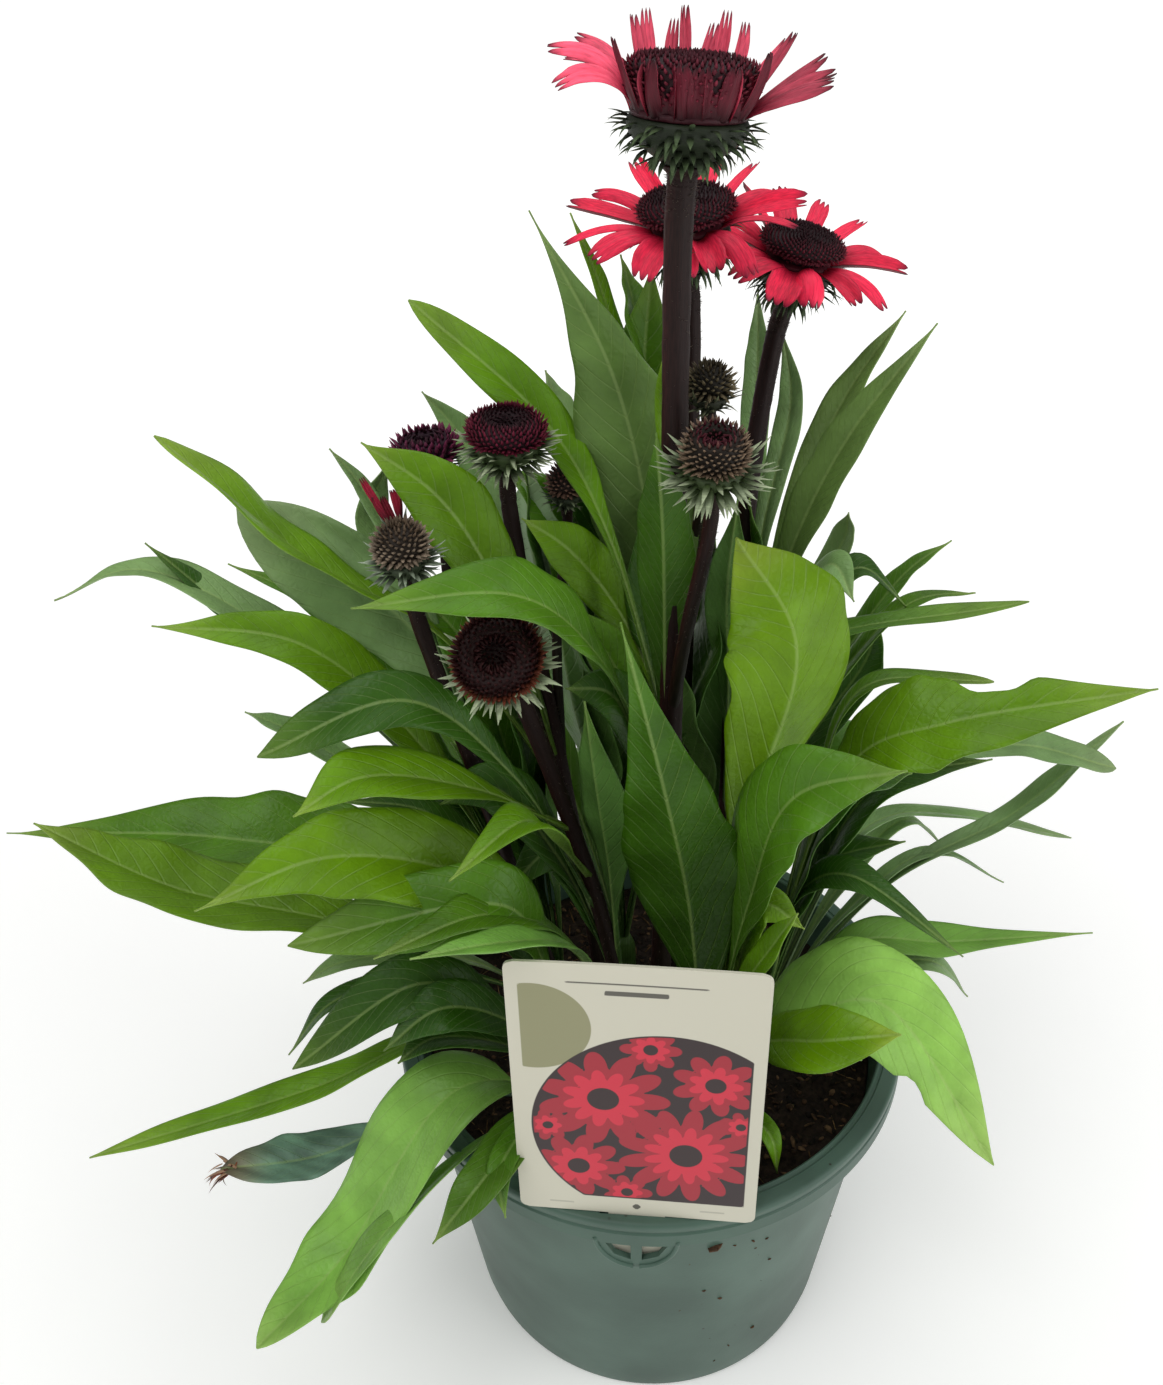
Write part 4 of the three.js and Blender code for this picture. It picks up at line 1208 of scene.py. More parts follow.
    def add_rays(self, seed: int) -> None:
        """Adds the rays on a thin hub.

        Args:
            seed: for the differences between the rays.
        """
        rng = np.random.default_rng(seed)
        spec, gather = self.rays, Gather()
        lift = self.height + self.GAP
        hub = turned(np.array([[spec.seat, 0], [spec.seat + 0.2, 0.7], [spec.seat, self.HUB]]), 40)
        gather.tubes(self.placed(hub, lift), tint=linear(spec.under[0]), place=hub)
        rings, at, flat, tone_and_painted_light = spec.straps(rng, self.HUB)
        # each ray's own tone, times its side's painted light and shade
        shade = rng.uniform(0.85, 1.12, (spec.count, 1, 1)) * tone_and_painted_light
        gather.tubes(self.placed(rings, lift), Closure.ZIP, tint=spec.tint(at, shade), place=flat)
        show(f"{self.name}_ray_whorl", gather.mesh("rays"), PETAL, "ray", f"{self.name}_rays")

    def build(self, seed: int, slot: str) -> None:
        """Adds all parts of the head.

        Args:
            seed: for the differences between bracts, rays and florets.
            slot: the record's material slot for the florets.
        """
        self.add_bracts(seed)
        if self.rays:
            self.add_rays(seed + 1)
        if self.florets:
            self.add_florets(seed + 2, slot)


def disc(radius: float, wide: float, tall: float, pit: float = 0.42) -> tuple[Pair, ...]:
    """Outline of a dished bud, whose rim is at 0.84 of its width.

    Args:
        radius: of the cup that it stands on.
        wide: half its width.
        tall: its height.
        pit: width of the dish as a share of the bud's.

    Returns:
        Radius and height of each point, from the cup to the middle.
    """
    return ((radius - 1.2, 0), (wide, 0.3 * tall), (wide, 0.62 * tall), (0.84 * wide, tall),
            ((0.3 + 0.5 * pit) * wide, 0.96 * tall), (pit * wide, 0.66 * tall),
            (0.5 * pit * wide, 0.42 * tall), (0.02, 0.38 * tall))


def ball(radius: float, wide: float, tall: float) -> tuple[Pair, ...]:
    """Outline of a round bud on a cup of this radius, from half its width and its height."""
    return ((radius - 1.2, 0), (wide, 0.3 * tall), (0.92 * wide, 0.62 * tall), (0.56 * wide, 0.92 * tall),
            (0.02, tall))


DARK_BRACT, PALE_BRACT = ("#1c2612", "#485a38"), ("#3c4c28", "#a9b692")
GREY_BRACT = ("#3a4630", "#94a28a")
MAROON = ("#2c0a14", "#5c1a28", "#260810")
HEADS = (
    Head("flower_1", (8, -9, 436.5), (0.08, 0, 1), 14.6, 10, 5.4,
         Bracts(6, 22, 5.6, -35, 14, -44, *DARK_BRACT, 1.7),
         Florets(((12.2, 0), (14.4, 3), (15.6, 6), (15.2, 8.6), (12.6, 9.9), (7.2, 10.6), (0.02, 10.4)),
                 700, (1.8, 1.2), 1.1, 50, "#340a16", "#6c2030", "#44121e"),
         Rays(26, 5.2, 13.8, half_open, ("#c42848", "#ff5c78", "#5c1428"),
              ("#340a14", "#7c1830", "#340c16"), 0.2)),
    Head("flower_2", (9.7, 47, 398.1), (-0.08, -0.14, 1), 12.6, 12, 3.6,
         Bracts(5, 20, 7, -40, 0, -55, *DARK_BRACT),
         Florets(((9, 0), (9, 2), (13.4, 3.6), (14, 5), (12.6, 6.8), (9.4, 8), (5.2, 8.8), (0.02, 9)),
                 900, (1.6, 1.2), 0.95, 28, *MAROON),
         Rays(15, 8.4, 10.4, fully_open, turn=0.15)),
    Head("flower_3", (40.8, 79, 381.4), (0.22, -0.12, 1), 12, 12, 4.4,
         Bracts(5, 20, 7.5, -40, 0, -55, *DARK_BRACT),
         Florets(((9, 0), (9, 2), (12.8, 3.4), (13.4, 4.6), (12.2, 6.2), (9.2, 7.4), (5, 8.2), (0.02, 8.4)),
                 900, (1.5, 1.1), 0.95, 28, *MAROON),
         Rays(14, 8.6, 10.4, fully_open, turn=0.2)),
    Head("bud_1", (16, 7, 370), (0, -0.1, 1), 5.6, 5, 2.2,
         Bracts(4, 12, 5.5, 5, 40, 0, "#2c3020", "#6c7054", 1.0),
         Florets(ball(5.2, 5.6, 7.2), 150, (3.2, 2.2), 1.2, 22, "#2a2418", "#70654c", "#3c3424")),
    Head("bud_2", (17.3, -22, 359.4), (0.02, -0.22, 1), 8.2, 7, 3,
         Bracts(6, 15, 8.6, -40, 8, 12, *PALE_BRACT, 1.6),
         Florets(disc(7.6, 7.9, 8.4), 330, (2.9, 1.4), 1.05, 30,
                 "#2c2218", "#7e6a56", "#4a1420", (0.6, 0.76))),
    Head("bud_3", (-42.7, 11.3, 351), (0.05, -0.12, 1), 10, 9, 3.4,
         Bracts(7, 16, 7, -40, 14, 8, *PALE_BRACT, 1.5),
         Florets(disc(10, 10.9, 5.6, 0.36), 500, (2.8, 1.2), 1.1, 62,
                 "#300c18", "#681a30", "#260a12", (0.55, 0.8))),
    Head("bud_4", (-70.5, 31, 338.5), (-0.1, -0.05, 1), 8, 7, 2.6,
         Bracts(5, 14, 5.5, -30, 14, 0, *GREY_BRACT),
         Florets(disc(8, 9.4, 6.2), 200, (4.2, 1.6), 1.7, 60, "#380e28", "#7a2c50", "#240c14")),
    Head("bud_5", (-27, 24, 333), (0, -0.1, 1), 5, 4.5, 2,
         Bracts(4, 12, 4, -15, 25, 0, "#3a4430", "#84906e", 1.1),
         Florets(ball(4.6, 5.2, 8.4), 150, (2.2, 1.6), 1.2, 25, "#3c2a22", "#8c6c5c", "#54302c")),
    Head("bud_6", (-66.8, -26.4, 334.3), (-0.05, -0.15, 1), 6.6, 6, 3,
         Bracts(5, 13, 6.4, -35, 15, 6, *GREY_BRACT, 1.4),
         Florets(ball(6.2, 7, 9), 220, (2.6, 2.0), 1.3, 25, "#382c20", "#8a7a68", "#5c4c3c")),
    Head("bud_7", (-75, 4, 330), (-0.35, 0.1, 1), 5, 5, 2,
         Bracts(4, 12, 4.5, -15, 20, 0, *GREY_BRACT, 1.0),
         rays=Rays(5, 2.8, 2.6, closed, ("#4c0e20", "#a01c38", "#340a14"),
                   ("#340a14", "#80182e", "#2a0810"))),
    Head("bud_8", (-38.4, -41, 312.8), (-0.1, -0.84, 1), 9, 7, 3.2,
         Bracts(7, 15, 8.6, -40, 14, 6, *PALE_BRACT, 1.8),
         Florets(disc(9, 11.2, 7, 0.5), 460, (3.2, 1.8), 1.2, 48,
                 "#300c0a", "#6a3420", "#2c0a0a", (0.26, 0.5))),
)
BROWN_BUDS = ("bud_1", "bud_2", "bud_5", "bud_6")


# ---------- shoots ----------


@dataclass(frozen=True)
class Branch:
    """A side stem, from its height on the main stem to a head."""

    start: float
    middle: Triple
    head: str
    radius: float


@dataclass(frozen=True)
class Shoot:
    """A growth point in the soil: a stem with branches and leaves, or a tuft of leaves on a short crown."""

    name: str
    root: Pair
    leaves: tuple[Leaf, ...]
    middle: Triple | None = None
    head: str | None = None
    radius: float = 5.5
    branches: tuple[Branch, ...] = ()

    FOOT = 108.0  # the stems stand this high in the soil
    STRAIGHT = 126.0  # a stem rises straight up to here
    CROWN = 137.0  # top of a tuft's crown
    SIDES = 20  # of a stem
    STEP = 2.5  # length of a stem's rows
    COLOURS = ("#1c180e", "#20100e", "#481a1a")  # low, high, and the red of the painted light on the stem's left side
    PAINTED_LIGHT_RED = 0.45  # how strongly painted light turns the stem's left side, which faces the key light, red
    HAIRS = 1.6  # for each millimetre of stem
    WIDENS = (0.93, 0.85)  # the share of a stem and of a branch where it starts to widen

    def stalk(self, gather: Gather, path: Array, radius: float, head: Head, widens: float,
              seed: int) -> None:
        """Adds a stem with stiff hairs: a tube with five broad and nine fine ridges, which wind a little.

        Args:
            gather: the mesh that gets the stem.
            path: its points, one a row.
            radius: below the head.
            head: the head that it carries.
            widens: the share of the path where it starts to widen to the head's neck.
            seed: for the ridges and hairs.
        """
        rng = np.random.default_rng(seed)
        u = np.linspace(0, 1, len(path))
        size = radius + (head.neck - radius) * smoothstep(u, widens, 1)
        a = around(self.SIDES)
        ridges = 1 + 0.05 * np.cos(5 * a + 2 * u[:, None]) + 0.03 * np.sin(9 * a)
        ridges = ridges + 0.02 * rng.normal(size=(len(path), 1))
        rings = tube(path, size[:, None] * ridges, self.SIDES, head.way())
        length = np.append(0, np.cumsum(np.linalg.norm(np.diff(path, axis=0), axis=1)))
        where = np.stack(np.broadcast_arrays(length[:, None], radius * 6 * np.sin(a / 2), radius), axis=-1)
        low, high, red = palette(*self.COLOURS)
        # painted light: the left side, which faces the key light, takes the stem's red; the other sides stay
        # near black
        lit = np.maximum(0, -np.cos(a))[None, :, None] ** 2 * self.PAINTED_LIGHT_RED
        shade = low + (high - low) * smoothstep(u, 0.2, 0.6)[:, None, None]
        gather.tubes(rings, tint=shade * (1 - lit) + red * lit, place=where)
        count = int(length[-1] * self.HAIRS)
        at = rng.uniform(0.3, 0.97, count)
        turn = rng.uniform(0, FULL_TURN, count)
        root = between(at, u, path) + polar(1, turn, 0) * (np.interp(at, u, size) * 0.93)[:, None]
        hairs = needles(root, turn, rng.uniform(-0.2, 0.6, count), 0 * turn, rng.uniform(0.8, 1.7, count),
                        np.full(count, 0.28), 1.0, 2)
        gather.tubes(hairs, Closure.ZIP, tint=linear("#5c5248"), place=hairs)

    def stems(self, heads: dict[str, Head], foot: Array, seed: int) -> Array:
        """Adds the stem and its branches as one piece.

        Args:
            heads: all heads by name.
            foot: where the stem stands in the soil.
            seed: for the ridges and hairs.

        Returns:
            The path of the main stem.
        """
        gather = Gather()
        path = self.curve([foot, np.array([*self.root, self.STRAIGHT])], self.middle, heads[self.head])
        self.stalk(gather, path, self.radius, heads[self.head], self.WIDENS[0], seed)
        for k, branch in enumerate(self.branches):
            twig = self.curve([self.point_at(path, branch.start)], branch.middle, heads[branch.head])
            self.stalk(gather, twig, branch.radius, heads[branch.head], self.WIDENS[1], seed + 50 + k)
        show(f"{self.name}_stalks", gather.mesh("stalks"), STEM, None, self.name)
        return path

    def crown(self, gather: Gather, foot: Array) -> Array:
        """Adds a tuft's short crown.

        Args:
            gather: the mesh that gets the crown.
            foot: where it stands in the soil.

        Returns:
            The crown's middle line.
        """
        path = np.linspace(foot, [*self.root, self.CROWN], 12)
        swell = self.radius * np.interp(np.linspace(0, 1, 12), [0, 0.8, 1], [1, 1, 0.6])
        rings = tube(path, swell, self.SIDES)
        gather.tubes(rings, tint=linear("#3d5a24"), place=rings)
        return path

    def build(self, heads: dict[str, Head], seed: int) -> None:
        """Adds the shoot's stems and leaves as two pieces, or a tuft as one.

        Args:
            heads: all heads by name.
            seed: for stems and leaves.
        """
        blades = Gather()
        foot = np.array([*self.root, self.FOOT])
        path = self.stems(heads, foot, seed) if self.head else self.crown(blades, foot)
        for k, leaf in enumerate(self.leaves):
            leaf.grow(blades, self.point_at(path, leaf.z), seed + k)
        show(f"{self.name}_leaves", blades.mesh("leaves"), LEAF, "leaf", self.name)

    def curve(self, start: Sequence[Array], middle: Triple, head: Head) -> Array:
        """The path of a stem: a spline that ends along its head's axis.

        Args:
            start: its first points.
            middle: a point halfway.
            head: the head that it ends at.

        Returns:
            Its points, one a row.
        """
        top = np.array(head.base, float)
        points = np.stack([*start, np.array(middle, float), top - 12 * head.way(), top])
        length = np.linalg.norm(np.diff(points, axis=0), axis=1).sum()
        return spline(points, np.linspace(0, 1, int(length / self.STEP)))

    @staticmethod
    def point_at(path: Array, z: float) -> Array:
        """The path's point at a height."""
        return between(z, path[:, 2], path)


B, Y_, M, E, D, P, L, G, S, W = Tone  # short names for the rows below
SHOOTS = (
    Shoot("stem_flower_1", (4, -4), (
        Leaf(262, (-31, 26, 357), (-70, 22, 397), 15, -34, B, widest=0.72),
        Leaf(230, (-14, -3, 297), (-27, -1, 313), 14, -45, M),
        Leaf(238, (-33, -50, 341), (-71, -67, 346), 21, -30, M),
        Leaf(212, (-12, -22, 294), (-24, -24, 296), 15, -60, D),
        Leaf(300, (4, 8, 375), (3, 10, 385), 6, 0, Y_),
        Leaf(215, (4, -13, 343), (2, -13, 371), 16, 0, E),
    ), (7, -6, 278), "flower_1", 3.6, (Branch(275, (11, -15, 310), "bud_2", 2.1),)),
    Shoot("stem_flower_2", (8, 16), (
        Leaf(230, (-13, 31, 374), (-36, 36, 418), 35, -85, G, widest=0.3),
        Leaf(240, (-4, 55, 363), (-2, 60, 398), 24, 0, M),
        Leaf(235, (-31, 47, 356), (-35, 49, 368), 12, 0, S),
        Leaf(225, (-25, 9, 325), (-39, 8, 336), 16, -65, B),
        Leaf(215, (-1, 22, 308), (1, 25, 341), 18, -85, D),
        Leaf(250, (-18, 60, 390), (-27, 63, 412), 6, 0, B),
    ), (11, 31, 261), "flower_2", 2.6, (Branch(300, (15, 18, 340), "bud_1", 1.8),)),
    Shoot("stem_flower_3", (28, 20), (
        Leaf(200, (24, 21, 306), (26, 25, 335), 16, 0, D),
        Leaf(225, (58, 31, 352), (80, 29, 388), 13, 55, G),
        Leaf(235, (61, 65, 354), (78, 71, 380), 11, 15, G),
        Leaf(212, (54, 2, 325), (60, -6, 317), 10, 30, S),
        Leaf(205, (68, 45, 302), (86, 43, 288), 11, 15, D),
        Leaf(170, (87, 45, 289), (108, 46, 293), 8, 0, M),
        Leaf(230, (45, 83, 347), (41, 89, 369), 8, 0, S),
        Leaf(200, (65, 59, 308), (65, 59, 316), 10, 0, S),
    ), (30, 53, 315), "flower_3", 3.2),
    Shoot("stem_bud_3", (-16, 2), (
        Leaf(240, (-102, -2, 325), (-142, -4, 366), 22, 11, B, widest=0.74),
        Leaf(250, (-61, -3, 347), (-82, -3, 364), 22, -50, B),
        Leaf(235, (-65, 52, 345), (-76, 52, 360), 12, 0, S),
    ), (-27, -4, 237), "bud_3", 2.5,
        (Branch(250, (-30, 12, 300), "bud_5", 1.6), Branch(262, (-60, 6, 308), "bud_7", 1.6))),
    Shoot("stem_bud_6", (-26, -14), (
        Leaf(215, (-77, 11, 294), (-129, 13, 337), 31, -61, S, widest=0.74),
        Leaf(185, (-135, 1, 308), (-157, 4, 328), 12, 0, D),
        Leaf(200, (-159, 1, 320), (-181, -14, 317), 18, 0, S, widest=0.3),
        Leaf(192, (-112, 16, 301), (-138, 18, 314), 10, 0, M),
        Leaf(180, (-100, -30, 313), (-138, -40, 324), 17, -37, B),
        Leaf(215, (-91, 29, 327), (-84, 31, 345), 12, 0, S),
        Leaf(220, (-90, 19, 340), (-99, 20, 353), 6, 0, S),
    ), (-47, -18, 226), "bud_6", 2.4, (Branch(250, (-62, 6, 290), "bud_4", 1.8),)),
    Shoot("stem_bud_8", (-4, -24), (
        Leaf(205, (-66, -49, 307), (-106, -61, 295), 16, -39, D, widest=0.67),
        Leaf(245, (-76, -65, 292), (-91, -80, 290), 18, -20, B, arch=0.08),
        Leaf(168, (-87, -72, 269), (-121, -88, 262), 27, -40, B, widest=0.4),
        Leaf(150, (-45, -75, 252), (-71, -93, 252), 15, -5, M),
        Leaf(225, (-33, -66, 279), (-50, -84, 273), 13, -5, B, arch=0.06),
        Leaf(175, (-48, -30, 263), (-64, -32, 257), 16, -40, D),
        Leaf(150, (-30, -21, 231), (-48, -30, 216), 16, -45, D),
        Leaf(170, (-14, -34, 262), (-17, -38, 301), 19, -5, D),
        Leaf(146, (-36, -88, 255), (-58, -102, 262), 11, 0, P),
    ), (-16, -27, 215), "bud_8", 2.6),
    Shoot("leaf_tuft_left", (-34, 8), (
        Leaf(130, (-120, -1, 261), (-135, 0, 268), 12, 0, S),
        Leaf(134, (-152, -4, 216), (-236, 0, 211), 35, -25, M, widest=0.4),
        Leaf(124, (-110, -17, 170), (-126, -21, 162), 11, 0, S),
        Leaf(124, (-110, -32, 166), (-129, -39, 144), 9, 0, D),
        Leaf(132, (-92, 62, 232), (-138, 86, 210), 26, 10, M),
        Leaf(126, (-78, 52, 188), (-118, 74, 158), 24, 0, M),
        Leaf(132, (-68, -12, 251), (-80, -13, 274), 17, -60, D),
        Leaf(136, (-43, 2, 256), (-47, 6, 279), 26, -40, D),
        Leaf(130, (-51, 0, 234), (-67, 4, 255), 24, -20, D),
        Leaf(136, (-60, 4, 295), (-71, 8, 307), 20, -30, M),
        Leaf(126, (-33, 8, 222), (-36, 10, 255), 26, 10, D),
    )),
    Shoot("leaf_tuft_front_left", (-22, -36), (
        Leaf(132, (-151, -45, 230), (-192, -43, 253), 28, 0, B, widest=0.54),
        Leaf(134, (-41, -68, 250), (-101, -79, 241), 23, -35, M, widest=0.66),
        Leaf(128, (-62, -67, 204), (-81, -71, 188), 16, -25, D),
        Leaf(130, (-50, -40, 230), (-65, -45, 250), 17, -50, D),
        Leaf(128, (-108, -64, 160), (-188, -80, 136), 12, 0, B, widest=0.64, arch=0.3),
        Leaf(126, (-70, -59, 206), (-112, -72, 178), 19, -29, D, widest=0.64),
        Leaf(128, (-100, -92, 107), (-121, -123, 104), 31, 0, L, widest=0.37, arch=0.45, point=0.4),
        Leaf(126, (-112, -66, 125), (-146, -74, 125), 18, -5, W, widest=0.5, start=0.5, point=0.55),
        Leaf(124, (-80, -94, 130), (-104, -110, 98), 14, 25, P, widest=0.76),
        Leaf(124, (-48, -99, 162), (-62, -109, 146), 14, 0, M),
        Leaf(124, (-42, -94, 163), (-40, -102, 151), 8, 0, M),
        Leaf(130, (-66, -35, 255), (-94, -38, 262), 14, 0, D),
        Leaf(126, (-69, -58, 179), (-79, -66, 176), 13, 0, D),
    )),
    Shoot("leaf_tuft_front_right", (22, -36), (
        Leaf(136, (43, -56, 284), (69, -65, 300), 27, 55, M),
        Leaf(134, (41, -34, 320), (24, -22, 345), 36, -75, Y_, widest=0.57),
        Leaf(128, (76, -41, 188), (117, -63, 137), 37, 40, L, widest=0.46,
             point=0.66, bites=((0.78, -1, 0.26, 0.03),)),
        Leaf(126, (55, -73, 205), (76, -77, 214), 19, 35, Y_, widest=0.56),
        Leaf(124, (40, -56, 227), (46, -56, 240), 10, 45, B),
        Leaf(130, (7, -52, 277), (-5, -61, 340), 33, 50, E, widest=0.36, start=0.16),
        Leaf(126, (38, -41, 229), (50, -45, 223), 13, 50, B),
        Leaf(123, (43, -64, 147), (46, -68, 133), 7, 0, B),
    )),
    Shoot("leaf_tuft_right", (42, 0), (
        Leaf(136, (43, 27, 276), (122, 33, 297), 10, 0, M, widest=0.76),
        Leaf(134, (69, 14, 274), (111, 17, 276), 8, 0, M, widest=0.76),
        Leaf(132, (90, -15, 281), (148, -15, 295), 30, 29, B, widest=0.5, arch=0.35,
             bites=((0.7, 1, 0.5, 0.07),)),
        Leaf(130, (66, -10, 254), (84, -7, 256), 28, 4, D),
        Leaf(130, (125, 34, 239), (165, 37, 228), 13, 19, S, widest=0.76, arch=0.34),
        Leaf(128, (136, 44, 201), (168, 48, 241), 10, -5, S, widest=0.62),
        Leaf(126, (95, 52, 192), (164, 57, 179), 12, -15, S, widest=0.75, arch=0.3),
        Leaf(126, (67, -15, 219), (106, -24, 193), 12, 19, D, arch=0.35),
        Leaf(124, (109, 11, 165), (164, 17, 167), 16, 10, P, widest=0.4, arch=0.3),
        Leaf(126, (104, 31, 191), (134, 34, 175), 7, -10, S),
        Leaf(126, (99, 56, 186), (117, 58, 171), 8, 0, S),
        Leaf(124, (103, 3, 163), (121, 8, 140), 11, 5, S),
        Leaf(128, (77, 4, 243), (112, 6, 253), 20, 10, D),
        Leaf(126, (63, 0, 212), (87, 0, 222), 22, 0, D),
    )),
    Shoot("leaf_tuft_back_right", (30, 46), (
        Leaf(132, (34, 102, 351), (33, 106, 379), 9, 0, S),
        Leaf(128, (77, 60, 257), (80, 61, 274), 16, 35, D),
        Leaf(130, (52, 100, 240), (74, 142, 214), 27, 0, M),
        Leaf(126, (84, 84, 206), (116, 114, 176), 24, -10, M),
        Leaf(124, (48, 92, 178), (62, 132, 142), 24, 0, B),
        Leaf(130, (89, 76, 283), (106, 82, 295), 9, 0, M),
        Leaf(136, (26, 36, 245), (28, 44, 290), 26, 20, D),
        Leaf(132, (-6, 60, 377), (-12, 66, 399), 18, 0, M),
        Leaf(128, (33, 48, 299), (31, 52, 324), 26, 0, D),
        Leaf(126, (4, 22, 262), (5, 26, 293), 26, 0, D),
    )),
    Shoot("leaf_tuft_back", (-12, 36), (
        Leaf(130, (-62, 84, 236), (-96, 118, 215), 26, 0, M),
        Leaf(132, (-20, 104, 250), (-30, 152, 228), 28, 10, B),
        Leaf(128, (12, 98, 205), (22, 146, 172), 26, -10, M),
        Leaf(124, (-40, 92, 182), (-58, 128, 146), 24, 0, M),
        Leaf(132, (-33, 44, 319), (-50, 48, 337), 24, -20, M),
        Leaf(134, (-19, 52, 333), (-23, 56, 356), 22, 0, D),
        Leaf(128, (-26, 24, 264), (-28, 30, 296), 24, -30, D),
        Leaf(126, (21, 34, 280), (19, 44, 325), 26, 20, D),
        Leaf(128, (-37, 40, 304), (-43, 44, 339), 28, 0, D),
        Leaf(126, (-27, 20, 263), (-32, 24, 299), 28, 0, D),
        Leaf(130, (-18, 30, 269), (-18, 34, 298), 24, 0, D),
        Leaf(128, (-41, 38, 314), (-41, 44, 339), 24, 75, S),
    )),
)


# ---------- pot, soil and label ----------


@dataclass(frozen=True)
class Pot:
    """A moulded pot with a turned-down lip, a slit for the label and a half-round holder under the lip."""

    height: float = 140
    rim: float = 95
    lip_width: float = 8
    lip: float = 5
    skirt: float = 11
    base: float = 74
    wall: float = 2
    floor: float = 3
    edge: float = 1.5
    slit: Triple = (24, 1.6, 14)  # width, depth, height
    slit_y: float = -90.4
    drains: tuple[int, float, float] = (8, 5, 56)  # how many, their radius, the radius of their circle
    holder: Triple = (14, 14, 2)  # half-width, drop, thickness
    window: tuple[float, float, float, float] = (1.8, 10, -10, -2.4)  # near and far in x, down and up in z
    window_y: Pair = (-80, -110)  # the windows are cut through all between these
    crease: float = 35  # an edge that turns by more degrees is sharp

    def outer(self, z: Array | float) -> Array | float:
        """The outside radius of the wall at a height."""
        return self.base + (self.rim - self.lip_width + self.wall - self.base) * z / self.height

    def inner(self, z: Array | float) -> Array | float:
        """The inside radius of the wall at a height."""
        return self.outer(z) - self.wall

    @property
    def lap(self) -> float:
        """Height of the holder's upper edge, a little above the lip's lower edge."""
        return self.height - self.skirt + 2

    @staticmethod
    def rounded(corner: Pair, radius: float, start: float, end: float) -> list:
        """Six points of a round about a corner's centre, from one angle to another in degrees."""
        a = np.radians(np.linspace(start, end, 6))
        return [(corner[0] + radius * np.cos(t), corner[1] + radius * np.sin(t)) for t in a]

    def wall_mesh(self) -> bpy.types.Mesh:
        """The pot turned from one profile: up the outside, round the lip and down the inside.

        Returns:
            Its mesh, without holes.
        """
        h, r, e, under = self.height, self.rim, self.edge, self.height - self.lip
        hem, foot = h - self.skirt, self.outer(under)
        side = [(self.outer(z), z) for z in np.linspace(6, under - 3, 24)]
        inside = [(self.inner(z), z) for z in np.linspace(h - 3, self.floor + 4, 24)]
        profile = [
            (self.base - 8, 0.0), (self.base - 6, 0.0), *self.rounded((self.base - 3, 3), 3, -90, 0), *side,
            (foot, under - 0.8), (foot + 0.8, under), (r - 2.6, under), (r - 2, under - 0.6),  # under the lip
            (r - 2, hem + 0.4), (r - 1.6, hem), (r - 0.4, hem), (r, hem + 0.4),  # the skirt's lower edge
            (r, h - 5.2), (r - 0.5, h - 4.6), (r - 0.5, h - 4.0), (r - 0.1, h - 3.4),  # a groove round it
            *self.rounded((r - e - 0.1, h - e), e, 0, 90),
            (r - 5.4, h), (r - 5.8, h - 0.5), (r - 6.4, h - 0.5),  # a step in the rim
            *self.rounded((self.inner(h) + 0.8, h - 0.8), 0.8, 90, 180), *inside,
            (self.inner(self.floor) - e, self.floor),
        ]
        gather = Gather()
        gather.tubes(turned(np.array(profile), 180))
        return gather.mesh("pot wall")

    def holder_mesh(self) -> bpy.types.Mesh:
        """The holder: a half disc that follows the lip, z being a share of a half ellipse's drop at each x.

        Returns:
            Its mesh with two short pins to the wall, without windows.
        """
        half, drop, thick = self.holder
        a = np.linspace(np.pi - 0.05, 0.05, 41)[:, None]
        t = np.linspace(0, 1, 9)[None]
        x = half * np.cos(a) + 0 * t
        z = self.lap - drop * np.sin(a) * t

        def face(radius: float) -> Array:
            """Points on a round wall of this radius, in front."""
            return np.stack([x, -np.sqrt(radius**2 - x**2), z], axis=-1)

        gather = Gather()
        gather.tubes(both_faces(face(self.rim - 0.4), face(self.rim - 0.4 - thick))[None], Closure.ZIP)
        for side in (-1, 1):
            pin = np.array([[side * (half - 2), y - self.rim, self.lap - 3] for y in (1.5, 10)])
            gather.tubes(tube(pin, np.full(2, 1.6), 8))
        return gather.mesh("pot holder")

    def border_mesh(self) -> bpy.types.Mesh:
        """The raised border of the holder: a thin tube along the half ellipse.

        Returns:
            Its mesh.
        """
        half, drop, _ = self.holder
        a = np.linspace(np.pi, 0, 41)
        x, z = (half - 0.7) * np.cos(a), self.lap - (drop - 0.7) * np.sin(a)
        path = np.stack([x, -np.sqrt((self.rim - 0.3) ** 2 - x**2), z], axis=-1)
        gather = Gather()
        gather.tubes(tube(path, np.full(len(path), 0.8), 10))
        return gather.mesh("pot border")

    def cut(self, piece: bpy.types.Object, cutters: Gather) -> None:
        """Takes the cutters out of a piece and keeps the result as its mesh.

        Args:
            piece: what is cut.
            cutters: closed surfaces round what goes.
        """
        tool = bpy.data.objects.new("cutter", cutters.mesh("cutter"))
        bpy.context.scene.collection.objects.link(tool)
        saw = piece.modifiers.new("cut", "BOOLEAN")
        saw.operation, saw.object, saw.solver = "DIFFERENCE", tool, "EXACT"
        whole = bpy.data.meshes.new_from_object(piece.evaluated_get(bpy.context.evaluated_depsgraph_get()))
        piece.modifiers.clear()
        piece.data = whole
        bpy.data.objects.remove(tool)
        whole.polygons.foreach_set("use_smooth", np.ones(len(whole.polygons), bool))
        whole.set_sharp_from_angle(angle=np.radians(self.crease))

    def openings(self) -> Gather:
        """What goes from the wall: the drain holes and the slit for the label.

        Returns:
            Closed surfaces.
        """
        cutters = Gather()
        count, radius, circle = self.drains
        for turn in FULL_TURN * (np.arange(count) + 0.5) / count:
            hole = polar(circle, turn, np.array([-2.0, 2 * self.floor]))
            cutters.tubes(tube(hole, np.full(2, radius), 24))
        width, depth, tall = self.slit
        top = self.height + 2
        corners = np.array([[-1, -1], [1, -1], [1, 1], [-1, 1]]) * (width / 2, depth / 2) + (0, self.slit_y)
        cutters.tubes(np.stack([np.column_stack([corners, np.full(4, z)]) for z in (top - tall, top)])[None])
        return cutters

